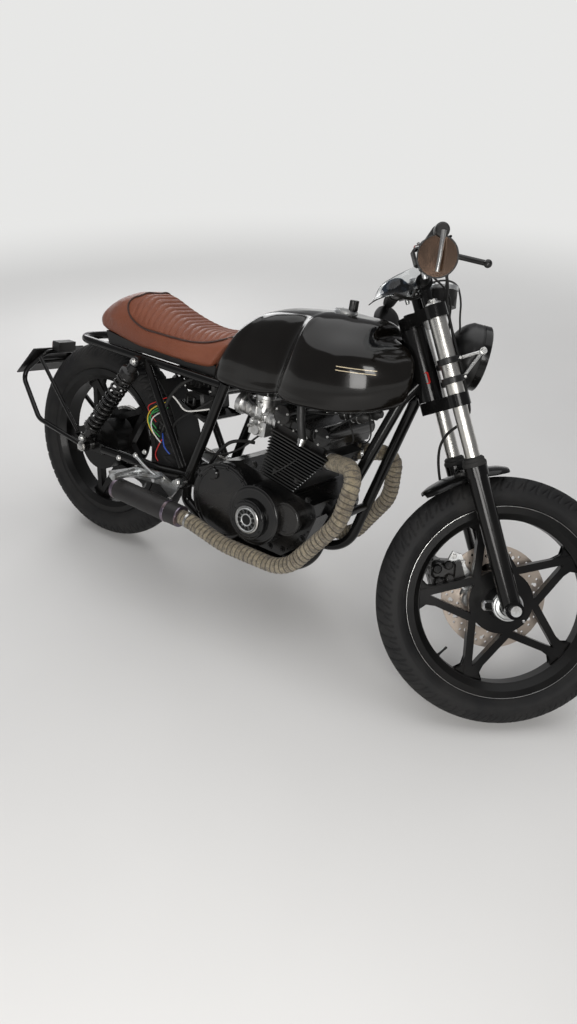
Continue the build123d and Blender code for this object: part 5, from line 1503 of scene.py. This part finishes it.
def build_stage(settings):
    """Floor, pale surround, soft lights and the photographer's view."""
    scene = bpy.context.scene
    scene.view_settings.view_transform = "Standard"
    f = Finish("studio_floor", metallic=0.0, specular_ior_level=0.3)
    cloud = f.noise(1.3, 3.0)
    f.set("Base Color", f.mix(cloud, (0.66, 0.655, 0.645), (0.72, 0.715, 0.705)))
    f.set("Roughness", 0.6 + cloud * 0.1)
    x, y, _ = f.split(f.place())
    far = f.fade(f.math("SQRT", x * x + y * y), 1.5, 5.5)
    glow = f.node("ShaderNodeEmission", None, {"Color": (0.80, 0.80, 0.79), "Strength": 1.0})
    blend = f.node("ShaderNodeMixShader", None, {0: far, 1: Value(f, f.shader.outputs[0]), 2: glow})
    f.tree.links.new(blend.socket,
                     next(n for n in f.tree.nodes if n.type == "OUTPUT_MATERIAL").inputs["Surface"])
    floor = bpy.data.meshes.new("studio_floor")
    floor.from_pydata([(-40, -40, -0.0005), (40, -40, -0.0005), (40, 40, -0.0005), (-40, 40, -0.0005)], [],
                      [(0, 1, 2, 3)])
    floor.materials.append(f.material)
    ground = bpy.data.objects.new("studio_floor", floor)
    scene.collection.objects.link(ground)
    world = scene.world or bpy.data.worlds.new("surround")
    scene.world = world
    world.use_nodes = True
    tree = world.node_tree
    tree.nodes.clear()
    out = tree.nodes.new("ShaderNodeOutputWorld")
    kinds = "ShaderNodeBackground", "ShaderNodeBackground", "ShaderNodeMixShader"
    soft, pale, blend = (tree.nodes.new(kind) for kind in kinds)
    path = tree.nodes.new("ShaderNodeLightPath")
    soft.inputs["Color"].default_value, soft.inputs["Strength"].default_value = (0.97, 0.97, 1, 1), 0.24
    pale.inputs["Color"].default_value, pale.inputs["Strength"].default_value = (0.80, 0.80, 0.79, 1), 1.0
    tree.links.new(path.outputs["Is Camera Ray"], blend.inputs[0])
    tree.links.new(soft.outputs[0], blend.inputs[1])
    tree.links.new(pale.outputs[0], blend.inputs[2])
    tree.links.new(blend.outputs[0], out.inputs["Surface"])
    soft_light("window", (2.4, -2.6, 2.3), (0.1, 0, 0.6), (1.3, 1.0), 44, (1.0, 0.985, 0.96))
    soft_light("doorway", (1.2, -2.5, 1.05), (0.36, -0.12, 0.78), (1.05, 0.7), 24, (1.0, 0.985, 0.96))
    soft_light("ceiling", (-0.4, 0.6, 4.2), (0, 0, 0.5), (6.0, 5.0), 120)
    soft_light("far_side", (-2.6, 1.6, 1.8), (0, 0, 0.6), (1.6, 1.4), 30)
    lens = bpy.data.cameras.new("view")
    lens.sensor_fit, lens.sensor_height, lens.lens = "VERTICAL", 36, 26.71
    lens.clip_end = 60
    eye = bpy.data.objects.new("view", lens)
    scene.collection.objects.link(eye)
    right = np.cross(CAMERA_FORWARD, CAMERA_UP)
    turning = Matrix(np.column_stack([right, CAMERA_UP, -np.asarray(CAMERA_FORWARD)]).tolist()).to_4x4()
    eye.matrix_world = Matrix.Translation(REAR_AXLE + CAMERA_STAND) @ turning
    scene.camera = eye


# Sidebar

def length(name, meaning, value):
    """A length among the panel's settings."""
    return bpy.props.FloatProperty(name=name, description=meaning, default=value, unit="LENGTH")


class CafeSettings(bpy.types.PropertyGroup):
    """Sizes that the pieces are made to."""
    tread_depth: length("Tread depth", "How deep the tyres are cut", 0.0032)
    tape_turn: length("Tape turn", "How far the heat tape goes on in one turn", TAPE_TURN)
    spring_wire: length("Spring wire", "Thickness of the rear springs' wire", 0.0085)
    rib_pitch: length("Rib pitch", "From one sewn channel of the seat to the next", 0.0205)
    rib_height: length("Rib height", "How far the seat's ribs stand above their seams", 0.0045)
    hose_length: length("Hose length", "Length of the front brake's hose", 0.86)


def operator(name, label, build):
    """An operator class that builds one group of pieces."""
    def execute(self, context):
        """Build the group with the panel's settings."""
        build(context.scene.cafe_settings)
        return {"FINISHED"}
    return type("CAFE_OT_" + name, (bpy.types.Operator,),
                {"bl_idname": "cafe." + name, "bl_label": label, "__doc__": build.__doc__, "execute": execute})


STEPS = [
    operator("stage", "Studio and view", build_stage),
    operator("hose", "Brake hose", build_hose),
    operator("finishes", "Finishes of the drawn solids", build_finishes),
    operator("tank", "Tank", build_tank),
    operator("seat", "Seat", build_seat),
    operator("tyres", "Tyres", build_tyres),
    operator("wraps", "Heat tape", build_wraps),
    operator("springs", "Spring units", build_springs),
    operator("wheels", "Wheel trim", build_wheels),
    operator("fork", "Fork trim", build_fork),
    operator("controls", "Controls", build_controls),
    operator("guard", "Guard, screen and caliper", build_guard),
    operator("lamp", "Headlamp", build_lamp),
    operator("engine", "Engine trim", build_engine),
    operator("carburettors", "Carburettors", build_carburettors),
    operator("chain", "Chain", build_chain),
    operator("rear", "Rear trim", build_rear),
]


class CAFE_PT_panel(bpy.types.Panel):
    """The groups of pieces, in the order they are made."""
    bl_label = "Cafe racer"
    bl_idname = "CAFE_PT_panel"
    bl_space_type = "VIEW_3D"
    bl_region_type = "UI"
    bl_category = "Cafe racer"

    def draw(self, context):
        """The settings, then a button for each group."""
        for name in CafeSettings.__annotations__:
            self.layout.prop(context.scene.cafe_settings, name)
        for step in STEPS:
            self.layout.operator(step.bl_idname)


CLASSES = [CafeSettings, *STEPS, CAFE_PT_panel]


def register():
    """Add the settings, the operators and the panel."""
    for kind in CLASSES:
        bpy.utils.register_class(kind)
    bpy.types.Scene.cafe_settings = bpy.props.PointerProperty(type=CafeSettings)


def unregister():
    """Take them out again."""
    del bpy.types.Scene.cafe_settings
    for kind in reversed(CLASSES):
        bpy.utils.unregister_class(kind)


def main():
    """Build every group in order and write the boxes of the solids and of what shows."""
    register()
    for step in STEPS:
        group, name = step.bl_idname.split(".")
        getattr(getattr(bpy.ops, group), name)()


if __name__ == "__main__":
    main()
